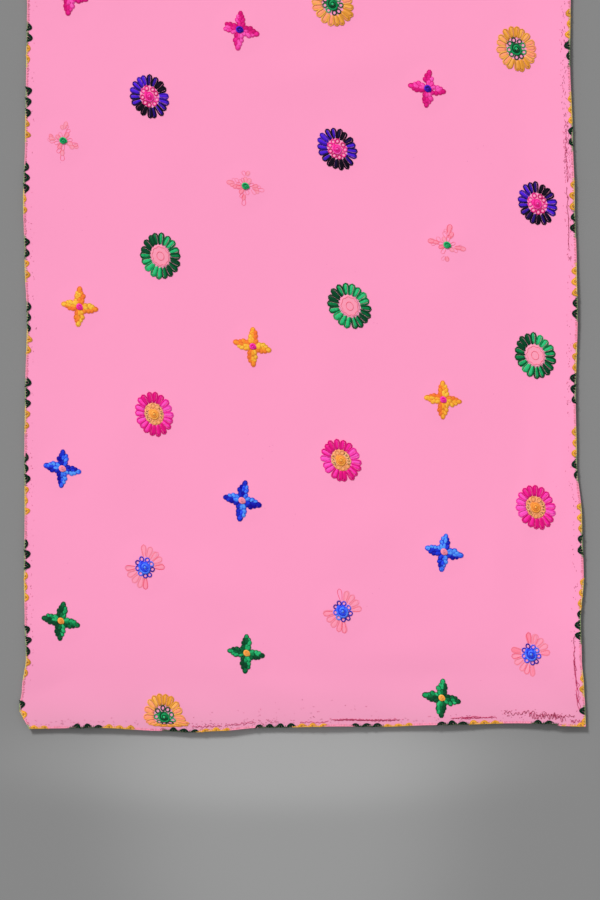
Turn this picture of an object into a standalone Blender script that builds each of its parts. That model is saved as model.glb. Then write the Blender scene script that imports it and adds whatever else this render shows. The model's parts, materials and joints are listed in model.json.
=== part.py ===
"""Dupatta stole laid out flat: one long cloth panel with raised worked flowers, and a toothed edging
worked over each of its four edges.

The frame: +Y runs up the length from the near hem to the far end, +Z is up, and the origin is the
middle of the stole's box, on the surface that it rests on. All sizes are in metres.
"""

import math
import random
from collections import namedtuple

import bmesh
import bpy
from mathutils import Vector
from mathutils.geometry import delaunay_2d_cdt

# Cloth
WIDTH = 0.710
LENGTH = 2.030
CLOTH_THICKNESS = 0.0012

# Edges: the cloth rests flat, and its last few centimetres rise a little towards each edge
LIFT_BAND = 0.024
LIFT_LEFT = 0.0016
LIFT_RIGHT = 0.0038
LIFT_HEM = 0.0050
LIFT_WAVE = 0.0008
LIFT_WAVE_PITCH = 0.145

# Edging: a cord along the very edge and teeth that lie on the cloth, pointing inwards
TOOTH_PITCH = 0.0138
TEETH_PER_SPAN = 2
TOOTH_DEPTH_LEFT = 0.0075
TOOTH_DEPTH = 0.0092
TOOTH_ROOT = 0.0030
CORD_WIDTH = 0.0020
CORD_BEVEL = 0.0006
SEAM_GAP = 0.0003
TOOTH_THICKNESS = 0.0008
MITRE_GAP = 0.0003
MOST_MITRE = 1.5

# Flower layout: a slanting lattice of big daisies, with a small cross flower in each gap
COLUMN_PITCH = 0.247
ROW_PITCH = 0.1987
COLUMN_DROP = 0.0606
DAISY_START = (-0.1920, -1.0050)
CROSS_START = (-0.3085, -0.8710)
LAST_ROW = 10
DAISY_COLUMNS = 3
CROSS_COLUMNS = 3
PLACE_SPREAD = 0.005
PLACE_SEED = 7
KEEP_FROM_EDGE = 0.039
KEEP_FROM_TEETH = 0.008
CUT_FLOWER_SQUEEZE = 0.15
KEEP_FROM_FLOWER = 0.002

# Daisy: loop petals round a disc with a knob
DAISY_PETALS = 18
DAISY_ACROSS = 0.0490
DAISY_ALONG = 0.0590
DAISY_LEAN = math.radians(118)
DAISY_HEIGHT = 0.0013
PETAL_HALF = 0.29
PETAL_VALLEY = 0.74
PETAL_CREST = 0.84
DISC_RIM = 0.53
DISC_FLOOR = 0.42
DISC_RIM_HEIGHT = 0.0011
DISC_FLOOR_HEIGHT = 0.0004
KNOB_HEIGHT = 0.0012

# Cross flower: four leaf arms round a button
CROSS_ARM_UP = 0.0247
CROSS_ARM_SIDE = 0.0225
CROSS_LEAN = math.radians(-4)
CROSS_TILT = math.radians(-12)
CROSS_HEIGHT = 0.0011
BUTTON_RADIUS = 0.0038
BUTTON_HEIGHT = 0.0013
BUTTON_SIDES = 6

CURVE_SAMPLES = 400
MERGE = 1e-6

# How far the two long edges stand outside half the width, by the distance up from the hem
SideRow = namedtuple("SideRow", "up left right")
SIDE_ROWS = (
    SideRow(0.000, 0.0094, 0.0094),
    SideRow(0.021, 0.0096, 0.0090),
    SideRow(0.048, 0.0057, 0.0074),
    SideRow(0.088, 0.0006, 0.0043),
    SideRow(0.137, 0.0022, 0.0030),
    SideRow(0.190, 0.0031, 0.0069),
    SideRow(0.266, 0.0022, 0.0046),
    SideRow(0.343, 0.0026, -0.0020),
    SideRow(0.421, 0.0018, -0.0035),
    SideRow(0.524, -0.0007, -0.0010),
    SideRow(0.601, 0.0024, -0.0022),
    SideRow(0.679, 0.0042, -0.0048),
    SideRow(0.756, 0.0018, -0.0070),
    SideRow(0.859, 0.0002, -0.0108),
    SideRow(0.937, -0.0009, -0.0099),
    SideRow(1.180, 0.0012, -0.0052),
    SideRow(1.420, -0.0014, -0.0025),
    SideRow(1.650, 0.0020, -0.0036),
    SideRow(1.850, 0.0004, 0.0012),
    SideRow(1.960, 0.0034, 0.0040),
    SideRow(2.030, 0.0060, 0.0075),
)

# How far the two short edges stand outside half the length, by the place across
EndRow = namedtuple("EndRow", "across hem far")
END_ROWS = (
    EndRow(-0.364, 0.0026, 0.0020),
    EndRow(-0.260, 0.0013, -0.0015),
    EndRow(-0.182, 0.0052, -0.0028),
    EndRow(-0.144, 0.0071, -0.0012),
    EndRow(-0.106, 0.0052, 0.0010),
    EndRow(-0.055, 0.0013, 0.0024),
    EndRow(0.048, -0.0006, 0.0009),
    EndRow(0.100, 0.0000, -0.0020),
    EndRow(0.172, -0.0023, -0.0034),
    EndRow(0.280, -0.0046, 0.0006),
    EndRow(0.317, -0.0039, 0.0022),
    EndRow(0.335, -0.0010, 0.0026),
    EndRow(0.364, -0.0003, 0.0018),
)

# The near left corner is cut off: the cut starts this far up the side and ends this far along the hem
CORNER_CUT_UP = 0.021
CORNER_CUT_ALONG = 0.013

# How far single flowers sit from their place in the lattice
Shift = namedtuple("Shift", "column row right up")
DAISY_SHIFTS = (
    Shift(0, 0, 0.0140, 0.0020),
    Shift(0, 1, -0.0110, -0.0040),
    Shift(0, 2, 0.0010, -0.0050),
    Shift(0, 3, 0.0090, 0.0000),
    Shift(0, 4, -0.0050, 0.0070),
    Shift(1, 1, -0.0030, 0.0000),
    Shift(1, 2, -0.0050, -0.0040),
    Shift(1, 3, 0.0060, -0.0040),
    Shift(1, 4, -0.0100, 0.0000),
    Shift(1, 5, -0.0160, -0.0120),
    Shift(2, 1, -0.0070, 0.0050),
    Shift(2, 2, -0.0010, -0.0040),
    Shift(2, 3, -0.0020, -0.0070),
    Shift(2, 4, 0.0010, -0.0100),
    Shift(2, 5, -0.0260, -0.0090),
)
CROSS_SHIFTS = (
    Shift(0, 0, -0.0030, -0.0085),
    Shift(0, 1, -0.0010, -0.0110),
    Shift(0, 2, 0.0210, -0.0010),
    Shift(0, 3, 0.0000, 0.0145),
    Shift(0, 4, 0.0080, 0.0030),
    Shift(1, 0, -0.0105, 0.0105),
    Shift(1, 1, -0.0165, 0.0085),
    Shift(1, 2, -0.0025, 0.0085),
    Shift(1, 3, -0.0120, 0.0165),
    Shift(1, 4, -0.0195, 0.0195),
    Shift(2, 0, -0.0060, 0.0135),
    Shift(2, 1, -0.0030, 0.0030),
    Shift(2, 2, -0.0040, 0.0005),
    Shift(2, 3, 0.0010, 0.0010),
    Shift(2, 4, -0.0240, 0.0040),
)

# Half of one leaf arm, from its root to its tip: the share of its length, and of its length to the side
LeafRow = namedtuple("LeafRow", "along side")
LEAF_ROWS = (
    LeafRow(0.36, 0.24),
    LeafRow(0.61, 0.26),
    LeafRow(0.73, 0.13),
    LeafRow(1.00, 0.11),
)
LEAF_ROOT = 0.25
LEAF_CRESTS = (0.50, 0.87)

COLOURS = {
    "cloth_panel": (0.972, 0.337, 0.565, 1.0),
    "edging_left": (0.020, 0.085, 0.055, 1.0),
    "edging_right": (0.800, 0.400, 0.035, 1.0),
    "edging_hem": (0.020, 0.085, 0.055, 1.0),
    "edging_far": (0.800, 0.400, 0.035, 1.0),
}
ROUGHNESS = 0.85


def clear_scene():
    for thing in list(bpy.data.objects):
        bpy.data.objects.remove(thing, do_unlink=True)


def eased(rows, key, value, at):
    """The value of one named column at a place, eased smoothly from row to row."""
    places = [getattr(row, key) for row in rows]
    values = [getattr(row, value) for row in rows]
    if at <= places[0]:
        return values[0]
    for i in range(len(rows) - 1):
        if at <= places[i + 1]:
            share = (at - places[i]) / (places[i + 1] - places[i])
            share = share * share * (3 - 2 * share)
            return values[i] + share * (values[i + 1] - values[i])
    return values[-1]


def left_point(up):
    return Vector((-WIDTH / 2 - eased(SIDE_ROWS, "up", "left", up), up - LENGTH / 2))


def right_point(up):
    return Vector((WIDTH / 2 + eased(SIDE_ROWS, "up", "right", up), up - LENGTH / 2))


def hem_point(across):
    return Vector((across, -LENGTH / 2 - eased(END_ROWS, "across", "hem", across)))


def far_point(across):
    return Vector((across, LENGTH / 2 + eased(END_ROWS, "across", "far", across)))


def walked(curve, start, end, first, last):
    """Points at even steps along a curve, a whole number of spans, with its two corners given."""
    fine = [first]
    for i in range(1, CURVE_SAMPLES):
        fine.append(curve(start + (end - start) * i / CURVE_SAMPLES))
    fine.append(last)
    lengths = [0.0]
    for a, b in zip(fine, fine[1:]):
        lengths.append(lengths[-1] + (b - a).length)
    spans = round(lengths[-1] / (TOOTH_PITCH * TEETH_PER_SPAN))
    points = []
    step = 0
    for i in range(spans + 1):
        at = lengths[-1] * i / spans
        while step < len(lengths) - 2 and lengths[step + 1] < at:
            step += 1
        share = (at - lengths[step]) / (lengths[step + 1] - lengths[step])
        points.append(fine[step].lerp(fine[step + 1], share))
    return points


def outline():
    """The stations along each edge, counter-clockwise, by the name of the edging; corners are shared."""
    near_left_up = left_point(CORNER_CUT_UP)
    near_left = hem_point(near_left_up.x + CORNER_CUT_ALONG)
    near_right = Vector((right_point(0).x, hem_point(right_point(0).x).y))
    far_right = Vector((right_point(LENGTH).x, far_point(right_point(LENGTH).x).y))
    far_left = Vector((left_point(LENGTH).x, far_point(left_point(LENGTH).x).y))
    sides = {
        "edging_hem": walked(hem_point, near_left.x, near_right.x, near_left, near_right),
        "edging_right": walked(right_point, 0, LENGTH, near_right, far_right),
        "edging_far": walked(far_point, far_right.x, far_left.x, far_right, far_left),
        "edging_left": walked(left_point, LENGTH, CORNER_CUT_UP, far_left, near_left_up) + [near_left],
    }
    everything = [p for points in sides.values() for p in points]
    middle = Vector((
        (min(p.x for p in everything) + max(p.x for p in everything)) / 2,
        (min(p.y for p in everything) + max(p.y for p in everything)) / 2,
    ))
    return {name: [p - middle for p in points] for name, points in sides.items()}, middle


def inward(before, here, after):
    """The direction into the cloth at a station, stretched so that both its edges move in by 1."""
    one = (here - before).normalized()
    two = (after - here).normalized()
    first = Vector((-one.y, one.x))
    second = Vector((-two.y, two.x))
    middle = (first + second).normalized()
    return middle * min(MOST_MITRE, 1 / middle.dot(first))


Station = namedtuple("Station", "place inward lift")


def edge_lift(along, side):
    """How far an edge stands off the surface: least at the left one, most at the short ones, and waved."""
    base = {"edging_left": LIFT_LEFT, "edging_right": LIFT_RIGHT}.get(side, LIFT_HEM)
    wave = math.sin(2 * math.pi * along / LIFT_WAVE_PITCH)
    return base + LIFT_WAVE * wave


def stations(sides):
    """Each side's stations, with the way in and the lift; where two sides share a corner they agree."""
    names = list(sides)
    loop = [(name, p) for name in names for p in sides[name][:-1]]
    made = []
    along = 0.0
    for i, (name, here) in enumerate(loop):
        before = loop[i - 1][1]
        after = loop[(i + 1) % len(loop)][1]
        lift = edge_lift(along, name)
        made.append((name, Station(here, inward(before, here, after), lift)))
        along += (after - here).length
    result = {}
    for n, name in enumerate(names):
        own = [station for side, station in made if side == name]
        following = names[(n + 1) % len(names)]
        corner = next(station for side, station in made if side == following)
        result[name] = own + [corner]
    return result


def inset(station, distance):
    return station.place + station.inward * distance


def edge_distance(point, loop):
    """How far a point lies inside the stations' outline, and the lift of the edge nearest to it."""
    best = None
    for a, b in zip(loop, loop[1:] + loop[:1]):
        run = b.place - a.place
        share = max(0.0, min(1.0, (point - a.place).dot(run) / run.length_squared))
        away = (point - a.place.lerp(b.place, share)).length
        if best is None or away < best[0]:
            best = (away, a.lift + (b.lift - a.lift) * share)
    return best


def cloth_height(point, loop):
    """The height of the cloth's underside over a place."""
    away, lift = edge_distance(point, loop)
    return lift * max(0.0, 1 - away / LIFT_BAND)


def lattice(start, columns, shifts, middle, seed):
    """Flower centres: a slanting lattice, with the named shifts and small even ones elsewhere."""
    draw = random.Random(seed)
    moved = {(s.column, s.row): (s.right, s.up) for s in shifts}
    centres = []
    for column in range(columns):
        for row in range(LAST_ROW + 1):
            even = (draw.uniform(-PLACE_SPREAD, PLACE_SPREAD), draw.uniform(-PLACE_SPREAD, PLACE_SPREAD))
            right, up = moved.get((column, row), even)
            x = start[0] + column * COLUMN_PITCH + right
            y = start[1] + row * ROW_PITCH - column * COLUMN_DROP + up
            centres.append(Vector((x, y)) - middle)
    return centres


class Surface:
    """Points with heights and the edges that must be kept, to be triangulated as one top surface."""

    def __init__(self, loop):
        self.loop = loop
        self.points = []
        self.heights = []
        self.edges = []

    def add(self, point, above=0.0):
        self.points.append(point)
        self.heights.append(cloth_height(point, self.loop) + CLOTH_THICKNESS + above)
        return len(self.points) - 1

    def ring(self, points, above=0.0):
        first = len(self.points)
        for point in points:
            self.add(point, above)
        count = len(points)
        self.edges += [(first + i, first + (i + 1) % count) for i in range(count)]
        return list(range(first, first + count))


def on_ellipse(angle, share):
    across = Vector((math.sin(DAISY_LEAN), -math.cos(DAISY_LEAN)))
    along = Vector((math.cos(DAISY_LEAN), math.sin(DAISY_LEAN)))
    return (across * math.cos(angle) * DAISY_ACROSS + along * math.sin(angle) * DAISY_ALONG) * share / 2


def add_daisy(surface, centre, squeeze):
    """A scalloped ring of petals that rises to a crest, a rim, a sunk floor and a knob."""
    turn = 2 * math.pi / DAISY_PETALS
    outer = []
    for i in range(DAISY_PETALS):
        for place, share in ((i - PETAL_HALF, 1.0), (i + PETAL_HALF, 1.0), (i + 0.5, PETAL_VALLEY)):
            outer.append(squeeze(centre + on_ellipse(turn * place, share)))
    surface.ring(outer)
    for i in range(DAISY_PETALS):
        surface.add(squeeze(centre + on_ellipse(turn * i, PETAL_CREST)), DAISY_HEIGHT)
    half = DAISY_PETALS // 2
    rim = [centre + on_ellipse(2 * turn * i, DISC_RIM) for i in range(half)]
    floor = [centre + on_ellipse(2 * turn * (i + 0.5), DISC_FLOOR) for i in range(half)]
    surface.ring([squeeze(p) for p in rim], DISC_RIM_HEIGHT)
    surface.ring([squeeze(p) for p in floor], DISC_FLOOR_HEIGHT)
    surface.add(squeeze(centre), KNOB_HEIGHT)


def add_cross(surface, centre):
    """Four lobed leaf arms that rise to a crest, round a raised button."""
    outer = []
    crests = []
    arms = (
        (CROSS_TILT, CROSS_ARM_SIDE),
        (math.pi / 2 + CROSS_LEAN, CROSS_ARM_UP),
        (math.pi + CROSS_TILT, CROSS_ARM_SIDE),
        (3 * math.pi / 2 + CROSS_LEAN, CROSS_ARM_UP),
    )
    for i, (angle, reach) in enumerate(arms):
        out = Vector((math.cos(angle), math.sin(angle)))
        aside = Vector((-out.y, out.x))
        for row in LEAF_ROWS:
            outer.append(centre + out * reach * row.along - aside * reach * row.side)
        for row in reversed(LEAF_ROWS):
            outer.append(centre + out * reach * row.along + aside * reach * row.side)
        following = arms[(i + 1) % len(arms)][0]
        root = (angle + following + (2 * math.pi if following < angle else 0)) / 2
        outer.append(centre + Vector((math.cos(root), math.sin(root))) * reach * LEAF_ROOT)
        crests.append([centre + out * reach * share for share in LEAF_CRESTS])
    surface.ring(outer)
    for ridge in crests:
        near, tip = (surface.add(crest, CROSS_HEIGHT) for crest in ridge)
        surface.edges.append((near, tip))
    turn = 2 * math.pi / BUTTON_SIDES
    for i in range(BUTTON_SIDES):
        around = Vector((math.cos(turn * i), math.sin(turn * i)))
        surface.add(centre + around * BUTTON_RADIUS, BUTTON_HEIGHT)


def line_clear(a, b, centre, radius):
    """Whether a straight line between two places stays clear of a flower."""
    run = b - a
    share = max(0.0, min(1.0, (centre - a).dot(run) / run.length_squared))
    return (a + run * share - centre).length > radius + KEEP_FROM_FLOWER


def triangulated(points, edges, boundary):
    """Triangles inside the boundary through all the points, keeping the given edges."""
    places, _, faces, origins, _, inside = delaunay_2d_cdt(points, edges, [boundary], 0, MERGE, True)
    if len(places) != len(points):
        raise ValueError("the surface's edges cross")
    names = [origin[0] for origin in origins]
    return [[names[i] for i in face] for face, within in zip(faces, inside) if within]


def make_object(name, bm):
    bmesh.ops.remove_doubles(bm, verts=bm.verts, dist=MERGE)
    bmesh.ops.recalc_face_normals(bm, faces=bm.faces)
    mesh = bpy.data.meshes.new(name)
    bm.to_mesh(mesh)
    bm.free()
    thing = bpy.data.objects.new(name, mesh)
    bpy.context.scene.collection.objects.link(thing)
    material = bpy.data.materials.new(name)
    material.use_nodes = True
    shader = material.node_tree.nodes["Principled BSDF"]
    shader.inputs["Base Color"].default_value = COLOURS[name]
    shader.inputs["Roughness"].default_value = ROUGHNESS
    shader.inputs["Metallic"].default_value = 0.0
    mesh.materials.append(material)
    return thing


def make_panel(loop, daisies, crosses, hem_limit):
    """The cloth's wall: a top surface with the raised flowers over a plain underside."""
    surface = Surface(loop)
    seat = CORD_WIDTH + SEAM_GAP
    boundary = surface.ring([inset(s, seat) for s in loop])

    def squeeze(point):
        """Keeps a flower's point clear of the teeth, where the near hem cuts across the flower."""
        return Vector((point.x, max(point.y, hem_limit + CUT_FLOWER_SQUEEZE * (point.y - hem_limit))))

    for centre in daisies:
        add_daisy(surface, centre, squeeze)
    for centre in crosses:
        add_cross(surface, centre)
    flowers = [(centre, DAISY_ALONG / 2) for centre in daisies]
    flowers += [(centre, CROSS_ARM_UP) for centre in crosses]
    kept = []
    for station in loop:
        place = inset(station, LIFT_BAND)
        clear = all((place - centre).length > radius + KEEP_FROM_FLOWER for centre, radius in flowers)
        kept.append(surface.add(place) if clear else None)
    for here, after in zip(kept, kept[1:] + kept[:1]):
        if here is not None and after is not None:
            a, b = surface.points[here], surface.points[after]
            if all(line_clear(a, b, centre, radius) for centre, radius in flowers):
                surface.edges.append((here, after))

    bm = bmesh.new()
    top = [bm.verts.new((p.x, p.y, z)) for p, z in zip(surface.points, surface.heights)]
    for face in triangulated(surface.points, surface.edges, boundary):
        bm.faces.new([top[i] for i in face])

    rows = [inset(s, seat) for s in loop] + [inset(s, LIFT_BAND) for s in loop]
    count = len(loop)
    under = [bm.verts.new((p.x, p.y, cloth_height(p, loop))) for p in rows]
    edges = [(i, (i + 1) % count) for i in range(count)]
    edges += [(count + a, count + b) for a, b in edges]
    for face in triangulated(rows, edges, list(range(count))):
        bm.faces.new([under[i] for i in reversed(face)])
    for i in range(count):
        j = (i + 1) % count
        bm.faces.new([top[boundary[i]], top[boundary[j]], under[j], under[i]])
    return make_object("cloth_panel", bm)


def drawn_back(side):
    """A side's stations, with its two ends drawn back from the mitres."""
    own = list(side)
    for end, neighbour in ((0, 1), (-1, -2)):
        run = (own[neighbour].place - own[end].place).normalized()
        own[end] = own[end]._replace(place=own[end].place + run * MITRE_GAP)
    return own


def make_edging(name, side):
    """A cord along the edge and teeth over the cloth, as one solid with a mitred end at each corner."""
    own = drawn_back(side)
    depth = TOOTH_DEPTH_LEFT if name == "edging_left" else TOOTH_DEPTH
    top = CLOTH_THICKNESS + SEAM_GAP + TOOTH_THICKNESS
    shelf = CLOTH_THICKNESS + SEAM_GAP
    bm = bmesh.new()

    def corner(station, distance, height):
        place = inset(station, distance)
        return bm.verts.new((place.x, place.y, station.lift * (1 - distance / LIFT_BAND) + height))

    def between(a, b, share):
        return Station(a.place.lerp(b.place, share), a.inward.lerp(b.inward, share),
                       a.lift + (b.lift - a.lift) * share)

    sections = []
    for station in own:
        sections.append({
            "foot": corner(station, CORD_WIDTH, 0.0),
            "heel": corner(station, CORD_BEVEL, 0.0),
            "edge": corner(station, 0.0, CLOTH_THICKNESS),
            "crown": corner(station, CORD_BEVEL, top),
            "shelf": corner(station, CORD_WIDTH, shelf),
            "root_top": corner(station, TOOTH_ROOT, top),
            "root_under": corner(station, TOOTH_ROOT, shelf),
        })
    last = len(own) - 2
    for i, (a, b) in enumerate(zip(sections, sections[1:])):
        for low, high in (("foot", "heel"), ("heel", "edge"), ("edge", "crown"), ("shelf", "foot")):
            bm.faces.new([a[low], b[low], b[high], a[high]])
        roots = [(a["root_top"], a["root_under"])]
        tips = []
        for tooth in range(TEETH_PER_SPAN if 0 < i < last else 0):
            tip = between(own[i], own[i + 1], (tooth + 0.5) / TEETH_PER_SPAN)
            tips.append(corner(tip, depth, shelf + TOOTH_THICKNESS / 2))
            if tooth < TEETH_PER_SPAN - 1:
                root = between(own[i], own[i + 1], (tooth + 1) / TEETH_PER_SPAN)
                roots.append((corner(root, TOOTH_ROOT, top), corner(root, TOOTH_ROOT, shelf)))
        roots.append((b["root_top"], b["root_under"]))
        half = (len(roots) - 1) // 2
        for outer, layer, flip in (("crown", 0, False), ("shelf", 1, True)):
            inner = [root[layer] for root in roots]
            fans = [(a[outer], inner[k], inner[k + 1]) for k in range(half)]
            fans.append((a[outer], inner[half], b[outer]))
            fans += [(b[outer], inner[k], inner[k + 1]) for k in range(half, len(inner) - 1)]
            fans += [(inner[k], tip, inner[k + 1]) for k, tip in enumerate(tips)]
            for fan in fans:
                bm.faces.new(reversed(fan) if flip else fan)
        for k, tip in enumerate(tips):
            bm.faces.new((roots[k][0], tip, roots[k][1]))
            bm.faces.new((tip, roots[k + 1][0], roots[k + 1][1]))
        if not tips:
            bm.faces.new((roots[0][0], roots[1][0], roots[1][1], roots[0][1]))
    order = ("foot", "heel", "edge", "crown", "root_top", "root_under", "shelf")
    bm.faces.new([sections[0][key] for key in order])
    bm.faces.new([sections[-1][key] for key in reversed(order)])
    return make_object(name, bm)


def main():
    clear_scene()
    sides, middle = outline()
    loops = stations(sides)
    loop = [station for side in loops.values() for station in side[:-1]]
    daisies = lattice(DAISY_START, DAISY_COLUMNS, DAISY_SHIFTS, middle, PLACE_SEED)
    crosses = lattice(CROSS_START, CROSS_COLUMNS, CROSS_SHIFTS, middle, PLACE_SEED + 1)
    low = min(s.place.y for s in loop)
    high = max(s.place.y for s in loop)
    daisies = [p for p in daisies if low < p.y < high - KEEP_FROM_EDGE]
    crosses = [p for p in crosses if low + KEEP_FROM_EDGE < p.y < high - KEEP_FROM_EDGE]
    make_panel(loop, daisies, crosses, low + TOOTH_DEPTH + KEEP_FROM_TEETH)
    for name, side in loops.items():
        make_edging(name, side)


main()
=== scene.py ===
"""Looks of a dupatta stole laid out flat: soft cloth, worked flowers, a toothed edging and stray stitches.

The file is laid out as an add-on and is run as a script. All sizes are in metres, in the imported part's
frame: +Y runs up the stole from its near hem, +Z is up, and the stole lies on Z = 0.
"""

import json
import math
import random
from collections import namedtuple

import bpy
import numpy as np
from bpy.props import FloatProperty, FloatVectorProperty, IntProperty, PointerProperty
from bpy.types import Operator, Panel, PropertyGroup
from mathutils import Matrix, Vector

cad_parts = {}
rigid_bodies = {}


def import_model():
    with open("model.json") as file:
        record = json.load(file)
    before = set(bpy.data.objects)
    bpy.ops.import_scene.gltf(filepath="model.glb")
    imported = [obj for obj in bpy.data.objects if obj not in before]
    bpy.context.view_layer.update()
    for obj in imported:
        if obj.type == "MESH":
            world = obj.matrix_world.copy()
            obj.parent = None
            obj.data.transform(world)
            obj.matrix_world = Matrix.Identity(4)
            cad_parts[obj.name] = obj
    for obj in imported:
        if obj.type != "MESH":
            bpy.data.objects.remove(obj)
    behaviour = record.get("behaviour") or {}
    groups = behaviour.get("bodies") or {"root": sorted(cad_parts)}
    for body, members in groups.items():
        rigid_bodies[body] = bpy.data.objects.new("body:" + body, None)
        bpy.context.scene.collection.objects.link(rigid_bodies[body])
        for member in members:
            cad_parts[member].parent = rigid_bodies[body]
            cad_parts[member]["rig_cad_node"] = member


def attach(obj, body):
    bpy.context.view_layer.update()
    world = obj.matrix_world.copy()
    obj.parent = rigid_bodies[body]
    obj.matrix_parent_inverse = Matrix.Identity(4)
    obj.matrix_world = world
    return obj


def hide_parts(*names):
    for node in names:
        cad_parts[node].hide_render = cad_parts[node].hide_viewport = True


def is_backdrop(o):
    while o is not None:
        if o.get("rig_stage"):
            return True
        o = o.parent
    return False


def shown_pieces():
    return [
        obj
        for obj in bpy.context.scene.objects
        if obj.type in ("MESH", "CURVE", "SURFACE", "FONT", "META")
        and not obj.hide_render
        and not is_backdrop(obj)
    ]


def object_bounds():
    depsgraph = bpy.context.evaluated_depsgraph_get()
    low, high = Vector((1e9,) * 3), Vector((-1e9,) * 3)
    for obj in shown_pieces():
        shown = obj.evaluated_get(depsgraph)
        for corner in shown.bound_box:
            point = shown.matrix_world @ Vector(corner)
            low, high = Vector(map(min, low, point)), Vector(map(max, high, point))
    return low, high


bl_info = {
    "name": "Dupatta Stole",
    "version": (1, 0, 0),
    "blender": (4, 5, 0),
    "location": "3D View > Sidebar > Stole",
    "description": "Dresses a dupatta stole with cloth, thread-worked flowers and a toothed edging",
    "category": "Object",
}

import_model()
CAD_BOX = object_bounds()


def table(fields, *rows):
    """Rows of named values."""
    row_of = namedtuple("Row", fields)
    return [row_of(*row) for row in rows]


def by_side(fields, **sides):
    """Rows of named values that belong to one side of the edging each."""
    return table("side " + fields, *((side, *row) for side, rows in sides.items() for row in rows))


# The cut: the stole's width and length, its cut-off corner, and how its four edges wander
WIDTH = 0.710
LENGTH = 2.030
CORNER_CUT_UP = 0.021
CORNER_CUT_ALONG = 0.013
SIDE_ROWS = table(
    "up left right",
    (0.000, 0.0094, 0.0094), (0.021, 0.0096, 0.0090), (0.048, 0.0057, 0.0074), (0.088, 0.0006, 0.0043),
    (0.137, 0.0022, 0.0030), (0.190, 0.0031, 0.0069), (0.266, 0.0022, 0.0046), (0.343, 0.0026, -0.0020),
    (0.421, 0.0018, -0.0035), (0.524, -0.0007, -0.0010), (0.601, 0.0024, -0.0022),
    (0.679, 0.0042, -0.0048), (0.756, 0.0018, -0.0070), (0.859, 0.0002, -0.0108),
    (0.937, -0.0009, -0.0099), (1.180, 0.0012, -0.0052), (1.420, -0.0014, -0.0025),
    (1.650, 0.0020, -0.0036), (1.850, 0.0004, 0.0012), (1.960, 0.0034, 0.0040), (2.030, 0.0060, 0.0075),
)
END_ROWS = table(
    "across hem far",
    (-0.364, 0.0026, 0.0020), (-0.260, 0.0013, -0.0015), (-0.182, 0.0052, -0.0028),
    (-0.144, 0.0071, -0.0012), (-0.106, 0.0052, 0.0010), (-0.055, 0.0013, 0.0024),
    (0.048, -0.0006, 0.0009), (0.100, 0.0000, -0.0020), (0.172, -0.0023, -0.0034),
    (0.280, -0.0046, 0.0006), (0.317, -0.0039, 0.0022), (0.335, -0.0010, 0.0026),
    (0.364, -0.0003, 0.0018),
)

# How high the cloth lies, and how it rises towards its edges and droops at the very rim
CLOTH_RISE = 0.0012
LIFT_LEFT = 0.0016
LIFT_RIGHT = 0.0046
LIFT_END = 0.0052
LIFT_WAVE = 0.0008
LIFT_WAVE_PITCH = 0.145
SIDE_WAVE = 0.8
LIFT_BAND = 0.070
LIFT_GAIN = 1.10
LIFT_CURVE = 1.6
DROOP = 0.03
DROOP_REACH = 0.007
# How low a thread may come to the floor, and the angle from which an edge shades sharply
LOWEST_THREAD = 0.0001
CRISP = 0.7

# Flower layout: a slanting lattice of daisies with a cross flower in each gap
COLUMN_PITCH = 0.247
ROW_PITCH = 0.1987
COLUMN_DROP = 0.0606
DAISY_START = (-0.1920, -1.0050)
CROSS_START = (-0.3085, -0.8710)
LAST_ROW = 10
COLUMNS = 3
COLUMN_TURNS = (-0.08, 0.12, 0.02)
PLACE_SPREAD = 0.005
PLACE_SEED = 7
KEEP_FROM_EDGE = 0.039
HEM_CLEARANCE = 0.0030
HEM_SPREAD = 0.55
DAISY_REACH = 0.030
CROSS_REACH = 0.026

# How far some flowers stand right of and above their place in the lattice, by column and row
DAISY_SHIFTS = {
    (0, 0): (0.0140, 0.0020), (0, 1): (-0.0110, -0.0040), (0, 2): (0.0010, -0.0050),
    (0, 3): (0.0090, 0.0000), (0, 4): (-0.0050, 0.0070), (1, 1): (-0.0030, 0.0000),
    (1, 2): (-0.0050, -0.0040), (1, 3): (0.0060, -0.0040), (1, 4): (-0.0100, 0.0000),
    (1, 5): (-0.0160, -0.0120), (2, 1): (-0.0070, 0.0050), (2, 2): (-0.0010, -0.0040),
    (2, 3): (-0.0020, -0.0070), (2, 4): (0.0010, -0.0100), (2, 5): (-0.0260, -0.0090),
}
CROSS_SHIFTS = {
    (0, 0): (-0.0030, -0.0085), (0, 1): (-0.0010, -0.0110), (0, 2): (0.0210, -0.0010),
    (0, 3): (0.0000, 0.0145), (0, 4): (0.0080, 0.0030), (1, 0): (-0.0105, 0.0105),
    (1, 1): (-0.0165, 0.0085), (1, 2): (-0.0025, 0.0085), (1, 3): (-0.0120, 0.0165),
    (1, 4): (-0.0195, 0.0195), (2, 0): (-0.0060, 0.0135), (2, 1): (-0.0030, 0.0030),
    (2, 2): (-0.0040, 0.0005), (2, 3): (0.0010, 0.0010), (2, 4): (-0.0240, 0.0040),
}

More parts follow.
